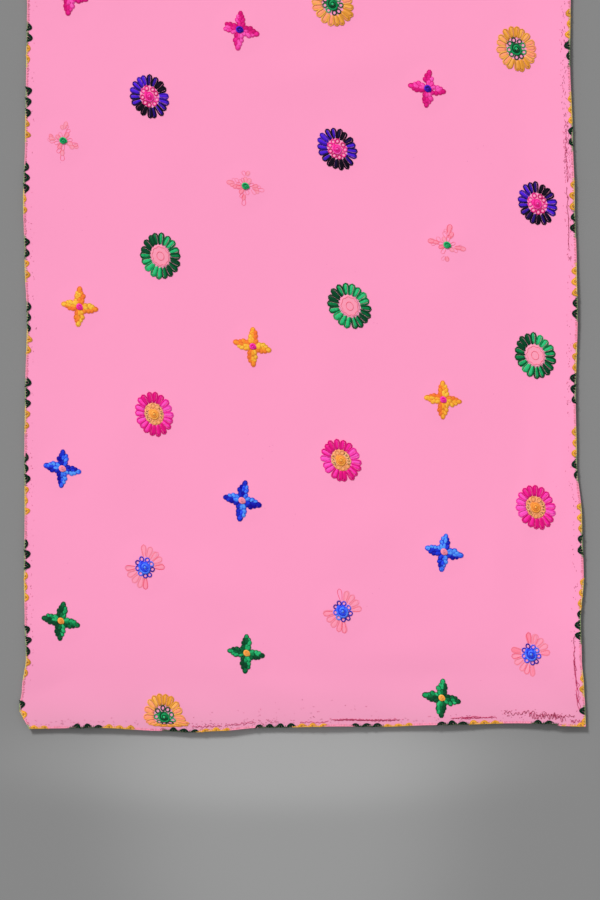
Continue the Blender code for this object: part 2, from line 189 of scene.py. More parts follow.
# The thread colours of the flowers, in the order that the rows take them going up from the hem.
# Runs is how often a daisy's dye comes round, and palest the way that its palest petals face, in
# degrees. Petals are left out where the light of their run is under least, and only outlined up to
# the margin over it. Full is a petal's share of its room, relief is how proud the stitches stand, and
# grown is the daisy's size among the rest.
ALL_PETALS = -3.0
FILL_MARGIN = 0.2
DAISY_KINDS = table(
    "petals centre ground marks runs palest least full relief knob grown",
    ("gold", "leaf", None, None, 2.0, 20, ALL_PETALS, 0.94, 0.60, 0.0080, 1.035),
    ("salmon", "royal", None, "blush", 2.0, 35, -0.25, 0.88, 0.09, 0.0084, 1.0),
    ("magenta", "amber", "straw", "leaf", 2.0, 10, ALL_PETALS, 0.93, 0.60, 0.0070, 1.0),
    ("leaf", "blush", "shell", None, 2.0, 55, ALL_PETALS, 0.93, 0.65, 0.0036, 1.06),
    ("violet", "rose", None, None, 1.64, 160, ALL_PETALS, 0.88, 0.65, 0.0068, 0.99),
)
# Kept is the share of the lobes that are there, and one in filled of them has a satin fill. Outlined
# names the thread that draws every lobe once more, tone is how bright the arms are, and round how big
# the button is.
CROSS_KINDS = table(
    "arms button kept filled outlined relief tone round",
    ("leaf", "amber", 1.0, 1, None, 0.36, 0.46, 0.96),
    ("azure", "salmon", 1.0, 1, None, 0.34, 0.56, 1.00),
    ("marigold", "magenta", 1.0, 1, None, 0.32, 0.54, 0.96),
    ("salmon", "leaf", 0.62, 2, "blush", 0.05, 0.85, 1.08),
    ("rose", "violet", 0.95, 1, None, 0.30, 0.54, 1.06),
)
# How much brighter the knobs and the buttons of some threads are than their other stitches
KNOB_GLOW = {"royal": 0.24, "rose": 0.16}
BUTTON_GLOW = {"leaf": 0.26, "violet": 0.12}

# One arm of a cross flower: where each lobe starts, as a share of the arm and how far to its side,
# the way it leans, and its size
ARM_LOBES = table(
    "along side lean length width",
    (0.12, 0.0, 0.0, 1.10, 1.00), (0.13, 1.4, 0.52, 0.98, 1.02), (0.13, -1.4, -0.52, 0.98, 1.02),
    (0.35, 1.5, 0.56, 0.98, 1.04), (0.35, -1.5, -0.56, 0.98, 1.04), (0.42, 0.0, 0.0, 1.00, 1.00),
    (0.55, 1.2, 0.46, 0.80, 0.92), (0.55, -1.2, -0.46, 0.80, 0.92), (0.62, 0.0, 0.0, 1.16, 1.16),
)
LOBE_ASIDE = 0.0010
LOBE_STRAY = 0.0004

# Each variegated thread has three dyes; edge is how much deeper the rim of a stitch is
DYE_STEPS = ("deep", "middle", "bright")
DYE_STOPS = (0.08, 0.50, 0.92)
REELS = table(
    "name deep middle bright edge",
    ("gold", "e89a38", "fab254", "ff9870", 0.45),
    ("salmon", "ff7e98", "ff8eaa", "ff9ab6", 0.10),
    ("shell", "fc96b0", "ff9eb9", "ffa6c0", 0.10),
    ("blush", "f43c5c", "fc5474", "ff7890", 0.10),
    ("magenta", "e61080", "ff28a6", "ff54c2", 0.58),
    ("leaf", "064628", "0c9050", "30c078", 0.72),
    ("violet", "100618", "3a14a0", "501ed8", 0.74),
    ("royal", "2c10a0", "2c4cff", "5c90ff", 0.45),
    ("amber", "f08030", "ffa444", "ffbc5c", 0.35),
    ("straw", "f09c60", "fcb078", "ffcc94", 0.40),
    ("rose", "d80c74", "fa2498", "ff5cbe", 0.50),
    ("azure", "1408a0", "2244f4", "58a0ff", 0.55),
    ("marigold", "fa7832", "fca02c", "fcc444", 0.50),
    ("crimson", "a42850", "c43466", "e05c8c", 0.20),
)

# Where the edging's thread changes from dye to dye: the places where its first dye starts
EDGE_DYES = table(
    "side heading dyes starts",
    ("edging_hem", 1, ("green", "yellow", "pink"), (-0.300, -0.180, -0.057, 0.065, 0.1735, 0.2935)),
    ("edging_right", -1, ("yellow", "green", "pink"),
     (-0.028, 0.072, 0.188, 0.285, 0.386, 0.491, 0.597, 0.707, 0.818, 0.924)),
    ("edging_far", 1, ("yellow", "pink", "green"), (-0.310, -0.195, -0.080, 0.040, 0.155, 0.270)),
    ("edging_left", -1, ("green", "yellow", "pink"),
     (0.002, 0.032, 0.128, 0.240, 0.348, 0.449, 0.546, 0.633, 0.724, 0.824, 0.907)),
)
DYE_REPEAT = 0.100
DYE_SHARES = (0.36, 0.70, 1.0)
# How full and proud a tooth stands in each dye
DYE_FULLNESS = {"green": 1.0, "yellow": 0.90, "pink": 0.45}
# Short lengths of one dye near the corner, over what the repeats give
EDGE_PATCHES = by_side(
    "start end dye",
    edging_right=((0.0040, 0.0125, "yellow"), (0.0280, 0.0375, "pink")),
    edging_hem=((0.3290, 0.3335, "pink"), (0.3400, 0.3450, "pink")),
)
# How much paler the stitches over the very edge are on each side, and the way in from that side
RIM_PALENESS = {"edging_hem": 0.10, "edging_right": 0.50, "edging_far": 0.30, "edging_left": 0.50}
INWARD = {"edging_hem": (0, 1), "edging_far": (0, -1), "edging_left": (1, 0), "edging_right": (-1, 0)}

# Soft rises in the cloth: where each one lies, the way it runs, how long, wide and high it is
RISES = table(
    "across up heading length width height",
    (0.300, 0.30, 88, 0.26, 0.012, 0.0007), (0.328, 0.33, 92, 0.18, 0.010, 0.0006),
    (0.262, 0.22, 84, 0.22, 0.020, 0.0006), (-0.120, 0.17, 158, 0.24, 0.034, 0.0011),
    (-0.020, 0.06, 172, 0.30, 0.022, 0.0010), (0.140, 0.09, 8, 0.22, 0.026, 0.0009),
    (0.080, 0.25, 24, 0.20, 0.036, 0.0008), (-0.250, 0.36, 82, 0.26, 0.030, 0.0007),
    (0.020, 0.47, 96, 0.24, 0.040, 0.0008), (0.190, 0.62, 74, 0.28, 0.034, 0.0008),
    (-0.180, 0.71, 110, 0.24, 0.036, 0.0008), (0.040, 0.86, 12, 0.34, 0.030, 0.0009),
    (-0.220, 1.02, 64, 0.30, 0.030, 0.0012), (0.230, 1.12, 100, 0.36, 0.026, 0.0011),
    (-0.030, 1.25, 20, 0.40, 0.034, 0.0014), (-0.260, 1.43, 86, 0.34, 0.028, 0.0010),
    (0.140, 1.52, 128, 0.34, 0.032, 0.0013), (0.290, 1.70, 84, 0.26, 0.018, 0.0010),
    (-0.090, 1.78, 160, 0.30, 0.030, 0.0012), (0.050, 1.95, 4, 0.42, 0.024, 0.0012),
)

# Loose threads that run to and fro close to the edges: where along the edge, how far in, how tall
# and long each stroke is, how many strokes, and how far the thread wanders from its line
STRAYS = by_side(
    "start end inset tall step strokes wander",
    edging_hem=(
        (0.259, 0.300, 0.0130, 0.0050, 0.0030, 14, 0.0012),
        (0.292, 0.334, 0.0112, 0.0074, 0.0018, 22, 0.0020),
        (0.300, 0.340, 0.0104, 0.0056, 0.0026, 14, 0.0020),
        (0.322, 0.350, 0.0115, 0.0030, 0.0026, 11, 0.0012),
        (0.190, 0.232, 0.0085, 0.0010, 0.0052, 9, 0.0006),
        (0.196, 0.252, 0.0078, 0.0007, 0.0080, 8, 0.0005),
        (0.204, 0.226, 0.0074, 0.0012, 0.0034, 8, 0.0005),
        (0.036, 0.084, 0.0086, 0.0010, 0.0060, 9, 0.0006),
        (0.060, 0.124, 0.0080, 0.0008, 0.0075, 9, 0.0005),
        (0.042, 0.118, 0.0074, 0.0014, 0.0028, 32, 0.0005),
        (0.040, 0.122, 0.0084, 0.0016, 0.0022, 44, 0.0004),
        (0.194, 0.246, 0.0080, 0.0014, 0.0022, 28, 0.0004),
        (0.346, 0.359, 0.0060, 0.0052, 0.0022, 9, 0.0014),
        (-0.142, -0.104, 0.0062, 0.0016, 0.0034, 12, 0.0009),
        (-0.100, -0.064, 0.0054, 0.0016, 0.0034, 11, 0.0009),
        (-0.004, 0.032, 0.0060, 0.0014, 0.0034, 11, 0.0008),
    ),
    edging_right=(
        (0.052, 0.116, 0.0096, 0.0014, 0.0080, 8, 0.0009),
        (0.036, 0.100, 0.0086, 0.0012, 0.0090, 8, 0.0009),
        (0.030, 0.090, 0.0094, 0.0010, 0.0080, 8, 0.0008),
        (0.022, 0.082, 0.0078, 0.0016, 0.0070, 9, 0.0009),
        (0.020, 0.056, 0.0068, 0.0022, 0.0040, 9, 0.0009),
        (0.616, 0.694, 0.0088, 0.0008, 0.0110, 8, 0.0008),
        (0.700, 0.764, 0.0080, 0.0010, 0.0080, 9, 0.0009),
        (1.240, 1.330, 0.0108, 0.0010, 0.0090, 11, 0.0009),
    ),
    edging_left=((1.480, 1.570, 0.0104, 0.0010, 0.0090, 11, 0.0009),),
    edging_far=(
        (-0.290, -0.220, 0.0100, 0.0036, 0.0026, 26, 0.0014),
        (0.080, 0.170, 0.0090, 0.0010, 0.0070, 13, 0.0008),
    ),
)
# Tiny loose ends: where along the edge, how far in at the middle, how far they spread, how many, and
# how long they are among the rest
LOOSE_ENDS = by_side(
    "start end inset spread count long",
    edging_hem=((-0.345, 0.360, 0.0075, 0.0024, 150, 1.0), (-0.142, -0.030, 0.0062, 0.0022, 110, 0.9),
                (-0.150, 0.120, 0.0190, 0.0090, 45, 0.8), (0.255, 0.352, 0.0120, 0.0030, 60, 1.0)),
    edging_right=((0.010, 0.600, 0.0090, 0.0022, 110, 1.0), (0.600, 0.960, 0.0080, 0.0024, 190, 1.6),
                  (0.700, 0.780, 0.0070, 0.0018, 60, 1.7), (0.960, 2.020, 0.0088, 0.0024, 220, 1.3)),
    edging_left=((0.030, 1.000, 0.0090, 0.0016, 80, 0.8), (1.000, 2.010, 0.0095, 0.0020, 90, 1.0)),
    edging_far=((-0.340, 0.340, 0.0100, 0.0030, 110, 1.0),),
)
STRAY_SEED = 21
# How close to the edge loose ends and threads may come, and how thin and even the threads are
LEAST_INSET = 0.0030
LEAST_STROKE_INSET = 0.0035
LOOSE_RADIUS = 0.00028
LOOSE_STEP = 0.0012


def linear(text):
    """A colour's linear values from its six hexadecimal digits."""
    values = [int(text[i:i + 2], 16) / 255 for i in (0, 2, 4)]
    return tuple(v / 12.92 if v <= 0.04045 else ((v + 0.055) / 1.055) ** 2.4 for v in values)


# ---------------------------------------------------------------- settings


def length(name, description, default):
    return FloatProperty(name=name, description=description, default=default, unit="LENGTH", precision=5)


def share(name, description, default):
    return FloatProperty(name=name, description=description, default=default, subtype="FACTOR",
                         min=0, max=2)


def angle(name, description, degrees):
    return FloatProperty(name=name, description=description, default=math.radians(degrees), subtype="ANGLE")


def dye(name, description, text):
    return FloatVectorProperty(name=name, description=description, default=linear(text),
                               subtype="COLOR", size=3, min=0, max=1)


class StoleCloth(PropertyGroup):
    """Sizes and finish of the cloth, and the shade painted on it towards its short ends."""

    thickness: length("Thickness", "How thick the cloth is", 0.0010)
    grid: length("Grid", "The distance between the cloth's points", 0.0070)
    pucker: length("Pucker", "How far a worked flower lifts the cloth", 0.0004)
    ripple: length("Ripple", "Height of the slow waves all over the cloth", 0.0002)
    colour: dye("Colour", "The cloth's dye", "fe9dc6")
    # The hem shade colour and its reach are painted shade: the cloth's colour darkens towards both short
    # ends.
    hem_colour: dye("Hem colour", "The cloth's dye by its short edges", "e296b4")
    hem_reach: length("Hem reach", "How far in the dye of the short edges reaches", 0.055)
    fleck: dye("Fleck", "Colour of the small loose ends in the cloth", "d8609c")
    thread: length("Thread", "The distance between the cloth's threads", 0.0005)


class StoleDaisy(PropertyGroup):
    """Sizes of the daisies."""

    petals: IntProperty(name="Petals", description="Petals round each daisy", default=18, min=3)
    across: length("Across", "The daisy's shorter axis", 0.0490)
    along: length("Along", "The daisy's longer axis", 0.0600)
    lean: angle("Lean", "The way the longer axis runs", 118)
    root: share("Petal root", "Where a petal starts, as a share of the way out", 0.48)
    loops: IntProperty(name="Loops", description="Small loops round each daisy's knob", default=9, min=3)
    loop_root: share("Loop root", "Where a loop starts, as a share of the way out", 0.25)
    loop_tip: share("Loop tip", "Where a loop ends, as a share of the way out", 0.50)


class StoleCross(PropertyGroup):
    """Sizes of the cross flowers."""

    arm_up: length("Upright arm", "Length of the arms that run up and down", 0.0256)
    arm_side: length("Side arm", "Length of the arms that run across", 0.0250)
    lean: angle("Lean", "Lean of the upright arms", -4)
    tilt: angle("Tilt", "Tilt of the side arms", -12)
    button: length("Button", "Radius of the button", 0.0050)


class StoleEdging(PropertyGroup):
    """Sizes and dyes of the edging."""

    pitch: length("Pitch", "The distance from tooth to tooth", 0.0138)
    depth: length("Depth", "How far a tooth reaches into the cloth", 0.0074)
    depth_left: length("Left depth", "How far a tooth reaches in on the left side", 0.0074)
    depth_hem: length("Hem depth", "How far a tooth reaches in on the near hem", 0.0053)
    corner: length("Corner", "How far from each corner the teeth stop", 0.0060)
    overcast: length("Overcast", "The distance between the stitches over the very edge", 0.0021)
    cord: length("Cord", "Radius of the cord along the very edge", 0.0006)
    green: dye("Green", "The edging's first dye", "08301f")
    yellow: dye("Yellow", "The edging's second dye", "f4ae38")
    pink: dye("Pink", "The edging's third dye", "fc9ab6")
    # The pale rim colour, which the stitches over the very edge go over to, most on the left and right
    # sides.
    pale: dye("Pale rim", "The worn colour of the stitches over the very edge", "c8dca0")


class StoleDyes(PropertyGroup):
    """The three dyes of each variegated thread."""


for reel in REELS:
    for step in DYE_STEPS:
        StoleDyes.__annotations__[f"{reel.name}_{step}"] = dye(
            f"{reel.name.title()} {step}", f"The {step} dye of the {reel.name} thread", getattr(reel, step))


class StoleStage(PropertyGroup):
    """The floor, the light and the camera."""

    view_long: length("View", "How much of the length the camera sees", 1.161)
    view_up: length("View middle", "How far up the stole the camera looks", 0.356)
    view_right: length("View right", "How far right of the middle the camera looks", -0.003)
    height: length("Height", "The camera's height", 4.0)
    floor: dye("Floor", "The floor's colour", "868686")
    pool: dye("Pool", "The floor's colour in the pool of light under the hem", "a8a8a8")
    sun: FloatProperty(name="Sun", description="Strength of the main light", default=2.6)
    sky: FloatProperty(name="Sky", description="Strength of the light from all round", default=0.50)
    elevation: angle("Elevation", "The main light's height over the floor", 37)
    heading: angle("Heading", "The way the shadows fall", -60)
    softness: angle("Softness", "How wide the main light is", 12)


# ---------------------------------------------------------------- the stole's shape


def eased(rows, key, value, at):
    """The values of one named column at places, eased smoothly from row to row."""
    places = np.array([getattr(row, key) for row in rows])
    values = np.array([getattr(row, value) for row in rows])
    at = np.asarray(at, float)
    i = np.clip(np.searchsorted(places, at) - 1, 0, len(rows) - 2)
    part = np.clip((at - places[i]) / (places[i + 1] - places[i]), 0, 1)
    part = part * part * (3 - 2 * part)
    return values[i] + part * (values[i + 1] - values[i])


def middle_of_cut(count=800):
    """The middle of the box round the cut, where the frame has its origin."""
    up = np.linspace(CORNER_CUT_UP, LENGTH, count)
    across = np.linspace(-WIDTH / 2, WIDTH / 2, count)
    left = (-WIDTH / 2 - eased(SIDE_ROWS, "up", "left", up)).min()
    right = (WIDTH / 2 + eased(SIDE_ROWS, "up", "right", np.append(up, 0.0))).max()
    near = (-LENGTH / 2 - eased(END_ROWS, "across", "hem", across)).min()
    far = (LENGTH / 2 + eased(END_ROWS, "across", "far", across)).max()
    return (left + right) / 2, (near + far) / 2


MIDDLE_X, MIDDLE_Y = middle_of_cut()


def left_edge(y):
    return -WIDTH / 2 - eased(SIDE_ROWS, "up", "left", y + MIDDLE_Y + LENGTH / 2) - MIDDLE_X


def right_edge(y):
    return WIDTH / 2 + eased(SIDE_ROWS, "up", "right", y + MIDDLE_Y + LENGTH / 2) - MIDDLE_X


def hem_edge(x):
    return -LENGTH / 2 - eased(END_ROWS, "across", "hem", x + MIDDLE_X) - MIDDLE_Y


def far_edge(x):
    return LENGTH / 2 + eased(END_ROWS, "across", "far", x + MIDDLE_X) - MIDDLE_Y


def corner_cut():
    """The two ends of the cut across the near left corner."""
    top_y = CORNER_CUT_UP - LENGTH / 2 - MIDDLE_Y
    top_x = float(left_edge(top_y))
    foot_x = top_x + CORNER_CUT_ALONG
    return (top_x, top_y), (foot_x, float(hem_edge(foot_x)))


CUT_TOP, CUT_FOOT = corner_cut()


def left_edge_cut(y):
    """The left edge, with the near corner cut across."""
    run = np.clip((CUT_TOP[1] - y) / (CUT_TOP[1] - CUT_FOOT[1]), 0, 1)
    return left_edge(np.maximum(y, CUT_TOP[1])) + run * (CUT_FOOT[0] - CUT_TOP[0])


def edge_path(side, step=0.0010):
    """Points at about even steps along one edge, and the coordinate that its dyes use."""
    near = CUT_FOOT[0], float(right_edge(hem_edge(WIDTH / 2)))
    if side == "edging_hem":
        x = np.linspace(*near, round((near[1] - near[0]) / step))
        return np.stack([x, hem_edge(x)], 1), x + MIDDLE_X
    if side == "edging_far":
        x = np.linspace(float(right_edge(LENGTH / 2)), float(left_edge(LENGTH / 2)), round(WIDTH / step))
        return np.stack([x, far_edge(x)], 1), x + MIDDLE_X
    if side == "edging_right":
        y = np.linspace(float(hem_edge(near[1])), float(far_edge(WIDTH / 2)), round(LENGTH / step))
        x = right_edge(y)
    else:
        y = np.linspace(float(far_edge(-WIDTH / 2)), CUT_FOOT[1], round(LENGTH / step))
        x = left_edge_cut(y)
    return np.stack([x, y], 1), y + MIDDLE_Y + LENGTH / 2


def by_edge(side):
    """A function that gives the place at a distance along one edge and a distance in from it."""
    line, at = edge_path(side)
    order = np.argsort(at)

    def place(along, inset):
        return [float(np.interp(along, at[order], line[order, k])) + inset * INWARD[side][k]
                for k in (0, 1)]

    return place


def lattice(start, moved, seed, from_hem):
    """The flowers' columns, rows and centres: a slanting lattice with named and small even shifts."""
    draw = random.Random(seed)
    placed = []
    for column in range(COLUMNS):
        for row in range(LAST_ROW + 1):
            even = (draw.uniform(-PLACE_SPREAD, PLACE_SPREAD), draw.uniform(-PLACE_SPREAD, PLACE_SPREAD))
            right, up = moved.get((column, row), even)
            x = start[0] + column * COLUMN_PITCH + right - MIDDLE_X
            y = start[1] + row * ROW_PITCH - column * COLUMN_DROP + up - MIDDLE_Y
            if CAD_BOX[0].y + from_hem < y < CAD_BOX[1].y - KEEP_FROM_EDGE:
                placed.append((column, row, x, y))
    return placed


DAISIES = lattice(DAISY_START, DAISY_SHIFTS, PLACE_SEED, 0.0)
CROSSES = lattice(CROSS_START, CROSS_SHIFTS, PLACE_SEED + 1, KEEP_FROM_EDGE)


def flowers_of(flowers, kinds, index):
    """The flowers of one kind: the kinds take the rows in turn."""
    return [flower for flower in flowers if flower[1] % len(kinds) == index]


def edge_rise(gap, lift):
    """The rise towards one edge: a long soft slope whose last few millimetres droop."""
    part = np.clip(1 - gap / LIFT_BAND, 0, 1.05)
    droop = 1 - DROOP * np.exp(-(np.maximum(gap, 0) / DROOP_REACH) ** 2)
    return LIFT_GAIN * lift * part ** LIFT_CURVE * droop


def soft_rise(soft, x, y):
    """The height of one soft rise: a low ridge that bends a little and fades to both its ends."""
    heading = math.radians(soft.heading)
    right, up = x - soft.across, y - (soft.up - LENGTH / 2)
    along = right * math.cos(heading) + up * math.sin(heading)
    aside = -right * math.sin(heading) + up * math.cos(heading)
    fade = np.clip(1 - np.abs(2 * along / soft.length), 0, 1)
    bent = aside + 0.012 * np.sin(along * 9 + soft.across * 40)
    return soft.height * fade ** 2 * (3 - 2 * fade) * np.exp(-(bent / soft.width) ** 2)


def cloth_top(x, y):
    """The height of the cloth's upper face over places on the floor."""
    settings = bpy.context.scene.stole_cloth
    wave = LIFT_WAVE * np.sin(2 * np.pi * (x + y) / LIFT_WAVE_PITCH)
    left = edge_rise(x - left_edge_cut(y), LIFT_LEFT + wave * SIDE_WAVE)
    right = edge_rise(right_edge(y) - x, LIFT_RIGHT + wave * SIDE_WAVE)
    ends = edge_rise(np.minimum(y - hem_edge(x), far_edge(x) - y), LIFT_END + wave)
    rise = np.maximum(np.maximum(left, right), ends)
    for soft in RISES:
        rise = rise + soft_rise(soft, x, y)
    ripple = np.sin(x * 17 + 2 * np.sin(y * 5)) + np.sin(y * 13 + 1.7 * np.sin(x * 7)) + 2
    rise = rise + settings.ripple * ripple / 2
    for flowers, reach in ((DAISIES, DAISY_REACH), (CROSSES, CROSS_REACH)):
        for _, _, flower_x, flower_y in flowers:
            near = (np.abs(x - flower_x) < 3 * reach) & (np.abs(y - flower_y) < 3 * reach)
            away = ((x[near] - flower_x) ** 2 + (y[near] - flower_y) ** 2) / reach ** 2
            dome = 1.2 * np.exp(-0.8 * away) - 0.35 * np.exp(-2.0 * (away - 1.7) ** 2)
            rise[near] += settings.pucker * dome
    return CLOTH_RISE + np.maximum(rise, 0)


# ---------------------------------------------------------------- nodes


class Value:
    """A node's output that takes part in sums: each sign adds the node that works the sum out."""

    def __init__(self, nodes, socket):
        self.nodes = nodes
        self.socket = socket

    def __add__(self, other):
        return self.nodes.math("ADD", self, other)

    def __sub__(self, other):
        return self.nodes.math("SUBTRACT", self, other)

    def __rsub__(self, other):
        return self.nodes.math("SUBTRACT", other, self)

    def __mul__(self, other):
        return self.nodes.math("MULTIPLY", self, other)

    def __truediv__(self, other):
        return self.nodes.math("DIVIDE", self, other)

    def __rtruediv__(self, other):
        return self.nodes.math("DIVIDE", other, self)

    def __pow__(self, other):
        return self.nodes.math("POWER", self, other)

    def __rpow__(self, other):
        return self.nodes.math("POWER", other, self)

    def __lt__(self, other):
        return self.nodes.math("LESS_THAN", self, other)

    def __gt__(self, other):
        return self.nodes.math("GREATER_THAN", self, other)


class Nodes:
    """Short ways to add nodes to one tree and to link them."""

    def __init__(self, tree):
        self.tree = tree
        self.family = "ShaderNode" if tree.type == "SHADER" else "GeometryNode"

    def given(self):
        """The tree's own inputs, by name."""
        return self.outputs(self.add("NodeGroupInput"))

    def outputs(self, node):
        return {socket.name: Value(self, socket) for socket in node.outputs}

    def put(self, socket, value):
        if isinstance(value, Value):
            self.tree.links.new(value.socket, socket)
        else:
            socket.default_value = value

    def add(self, kind, inputs=None, **settings):
        """Adds a node with its settings and inputs. A kind without a family is of the tree's own."""
        node = self.tree.nodes.new(kind if "Node" in kind else self.family + kind)
        for key, value in settings.items():
            setattr(node, key, value)
        for key, value in (inputs or {}).items():
            self.put(node.inputs[key], value)
        return node

    def get(self, kind, inputs=None, output=0, **settings):
        """Adds a node and gives one of its outputs."""
        return Value(self, self.add(kind, inputs, **settings).outputs[output])

    def math(self, operation, first, *others):
        """A sum of numbers, or of vectors or colours where the first value is one."""
        wide = isinstance(first, Value) and first.socket.type in ("VECTOR", "RGBA")
        if wide and operation == "MULTIPLY":
            return self.get("ShaderNodeVectorMath", {0: first, "Scale": others[0]}, operation="SCALE")
        kind = "ShaderNodeVectorMath" if wide else "ShaderNodeMath"
        return self.get(kind, dict(enumerate((first, *others))), operation == "LENGTH", operation=operation)

    def joined(self, x=0.0, y=0.0, z=0.0):
        return self.get("ShaderNodeCombineXYZ", {0: x, 1: y, 2: z})

    def parts(self, vector):
        node = self.add("ShaderNodeSeparateXYZ", {0: vector})
        return [Value(self, socket) for socket in node.outputs]

    def mixed(self, factor, first, second):
        """One colour gone over to another by a factor."""
        return self.get("ShaderNodeMix", {0: factor, 6: first, 7: second}, 2, data_type="RGBA")

    def attribute(self, name):
        node = self.add("InputNamedAttribute", {"Name": name}, data_type="FLOAT")
        return Value(self, next(s for s in node.outputs if s.enabled and s.name == "Attribute"))

    def stored(self, geometry, **values):
        """The geometry with named values stored on its points."""
        for name, value in values.items():
            node = self.add("StoreNamedAttribute", {"Geometry": geometry, "Name": name},
                            data_type="FLOAT", domain="POINT")
            self.put(next(s for s in node.inputs if s.enabled and s.name == "Value"), value)
            geometry = Value(self, node.outputs["Geometry"])
        return geometry

    def chance(self, low, high, seed):
        """A random number for each element, between two values."""
        return self.get("FunctionNodeRandomValue", {2: low, 3: high, "Seed": seed}, 1, data_type="FLOAT")

    def instanced(self, points, stitch, turn, *scale):
        """One stitch on each point, turned about the upright."""
        unit = self.get("ObjectInfo", {"Object": stitch}, "Geometry")
        turned = self.get("FunctionNodeEulerToRotation", {"Euler": self.joined(z=turn)})
        return self.get("InstanceOnPoints", {"Points": points, "Instance": unit, "Rotation": turned,
                                             "Scale": self.joined(*scale)})

    def stepped(self, curve, pitch):
        """The curve cut to even steps."""
        return self.get("ResampleCurve", {"Curve": curve, "Length": pitch}, mode="LENGTH")

    def tube(self, path, sides, radius):
        """A closed tube along a path."""
        ring = self.get("CurvePrimitiveCircle", {"Resolution": sides, "Radius": radius})
        return self.get("CurveToMesh", {"Curve": path, "Profile Curve": ring, "Fill Caps": True})


def add_sockets(tree, in_out, kinds):
    """Gives a tree its named inputs or outputs: for each kind, the names with commas between."""
    for kind, names in kinds.items():
        for name in names.split(", "):
            tree.interface.new_socket(name, in_out=in_out, socket_type="NodeSocket" + kind)


def new_tree(name, **kinds):
    """A geometry tree with named inputs, and a material as its last one."""
    tree = bpy.data.node_groups.new(name, "GeometryNodeTree")
    add_sockets(tree, "INPUT", {"Geometry": "Geometry", **kinds, "Material": "Material"})
    add_sockets(tree, "OUTPUT", {"Geometry": "Geometry"})
    nodes = Nodes(tree)
    return nodes, nodes.given()


def end_tree(nodes, geometry, given):
    """Real geometry with its material, as the tree's result."""
    real = nodes.get("RealizeInstances", {"Geometry": geometry})
    done = nodes.get("SetMaterial", {"Geometry": real, "Material": given["Material"]})
    nodes.add("NodeGroupOutput", {"Geometry": done})
    return nodes.tree


def ring_tree():
    """Stitches in an oval ring round each flower's centre, each pointing outwards."""
    nodes, given = new_tree(
        "Ring of Stitches", Object="Stitch", Int="Stitches, Seed",
        Float="Across, Along, Lean, Root, Tip, Stitch Length, Stitch Width, Fullness, Relief, Lift, "
              "Least, Runs, Contrast")
    seed = given["Seed"]
    points = nodes.get("MeshToPoints", {"Mesh": given["Geometry"]})
    copies = nodes.outputs(nodes.add("DuplicateElements", {"Geometry": points, "Amount": given["Stitches"]},
                                     domain="POINT"))
    # The way out to each stitch on the leaning oval
    step = 2 * math.pi / given["Stitches"]
    angle = (copies["Duplicate Index"] + nodes.chance(-0.13, 0.13, seed)) * step
    lean = given["Lean"] + nodes.attribute("turned")
    cos_lean, sin_lean = nodes.math("COSINE", lean), nodes.math("SINE", lean)
    half = nodes.attribute("size") * 0.5
    half_across, half_along = given["Across"] * half, given["Along"] * half
    out = nodes.joined(sin_lean, cos_lean * -1.0) * (nodes.math("COSINE", angle) * half_across)
    out = out + nodes.joined(cos_lean, sin_lean) * (nodes.math("SINE", angle) * half_along)
    reach = nodes.math("LENGTH", out)
    seat = out * given["Root"] + nodes.joined(z=given["Lift"])
    moved = nodes.get("SetPosition", {"Geometry": copies["Geometry"], "Offset": seat})
    # The dye comes and goes in runs round the ring
    wave = nodes.math("COSINE", angle * given["Runs"] + nodes.attribute("phase"))
    toned = nodes.stored(moved, tone=wave * given["Contrast"] + nodes.chance(-0.26, 0.26, seed + 1) + 0.5)
    light = wave + nodes.chance(-0.30, 0.30, seed + 5)
    shown = nodes.get("DeleteGeometry", {"Geometry": toned, "Selection": light < given["Least"]},
                      domain="POINT")
    # Each stitch fills its share of the room and points outwards
    long = (given["Tip"] - given["Root"]) * reach * nodes.chance(0.94, 1.05, seed + 2)
    room = half_across * half_along / reach * step * given["Fullness"]
    high = given["Relief"] * nodes.chance(0.88, 1.12, seed + 3)
    x, y, _ = nodes.parts(out)
    turn = nodes.math("ARCTAN2", y, x) + nodes.chance(-0.06, 0.06, seed + 4)
    made = nodes.instanced(shown, given["Stitch"], turn, long / given["Stitch Length"],
                           room / given["Stitch Width"], high)
    return end_tree(nodes, made, given)


def placed_tree():
    """One stitch on each point, turned and sized by the point's own attributes."""
    nodes, given = new_tree("Placed Stitches", Object="Stitch", Float="Relief")
    points = nodes.get("MeshToPoints", {"Mesh": given["Geometry"]})
    made = nodes.instanced(points, given["Stitch"], nodes.attribute("turn"), nodes.attribute("long"),
                           nodes.attribute("wide"), nodes.attribute("high") * given["Relief"])
    return end_tree(nodes, made, given)


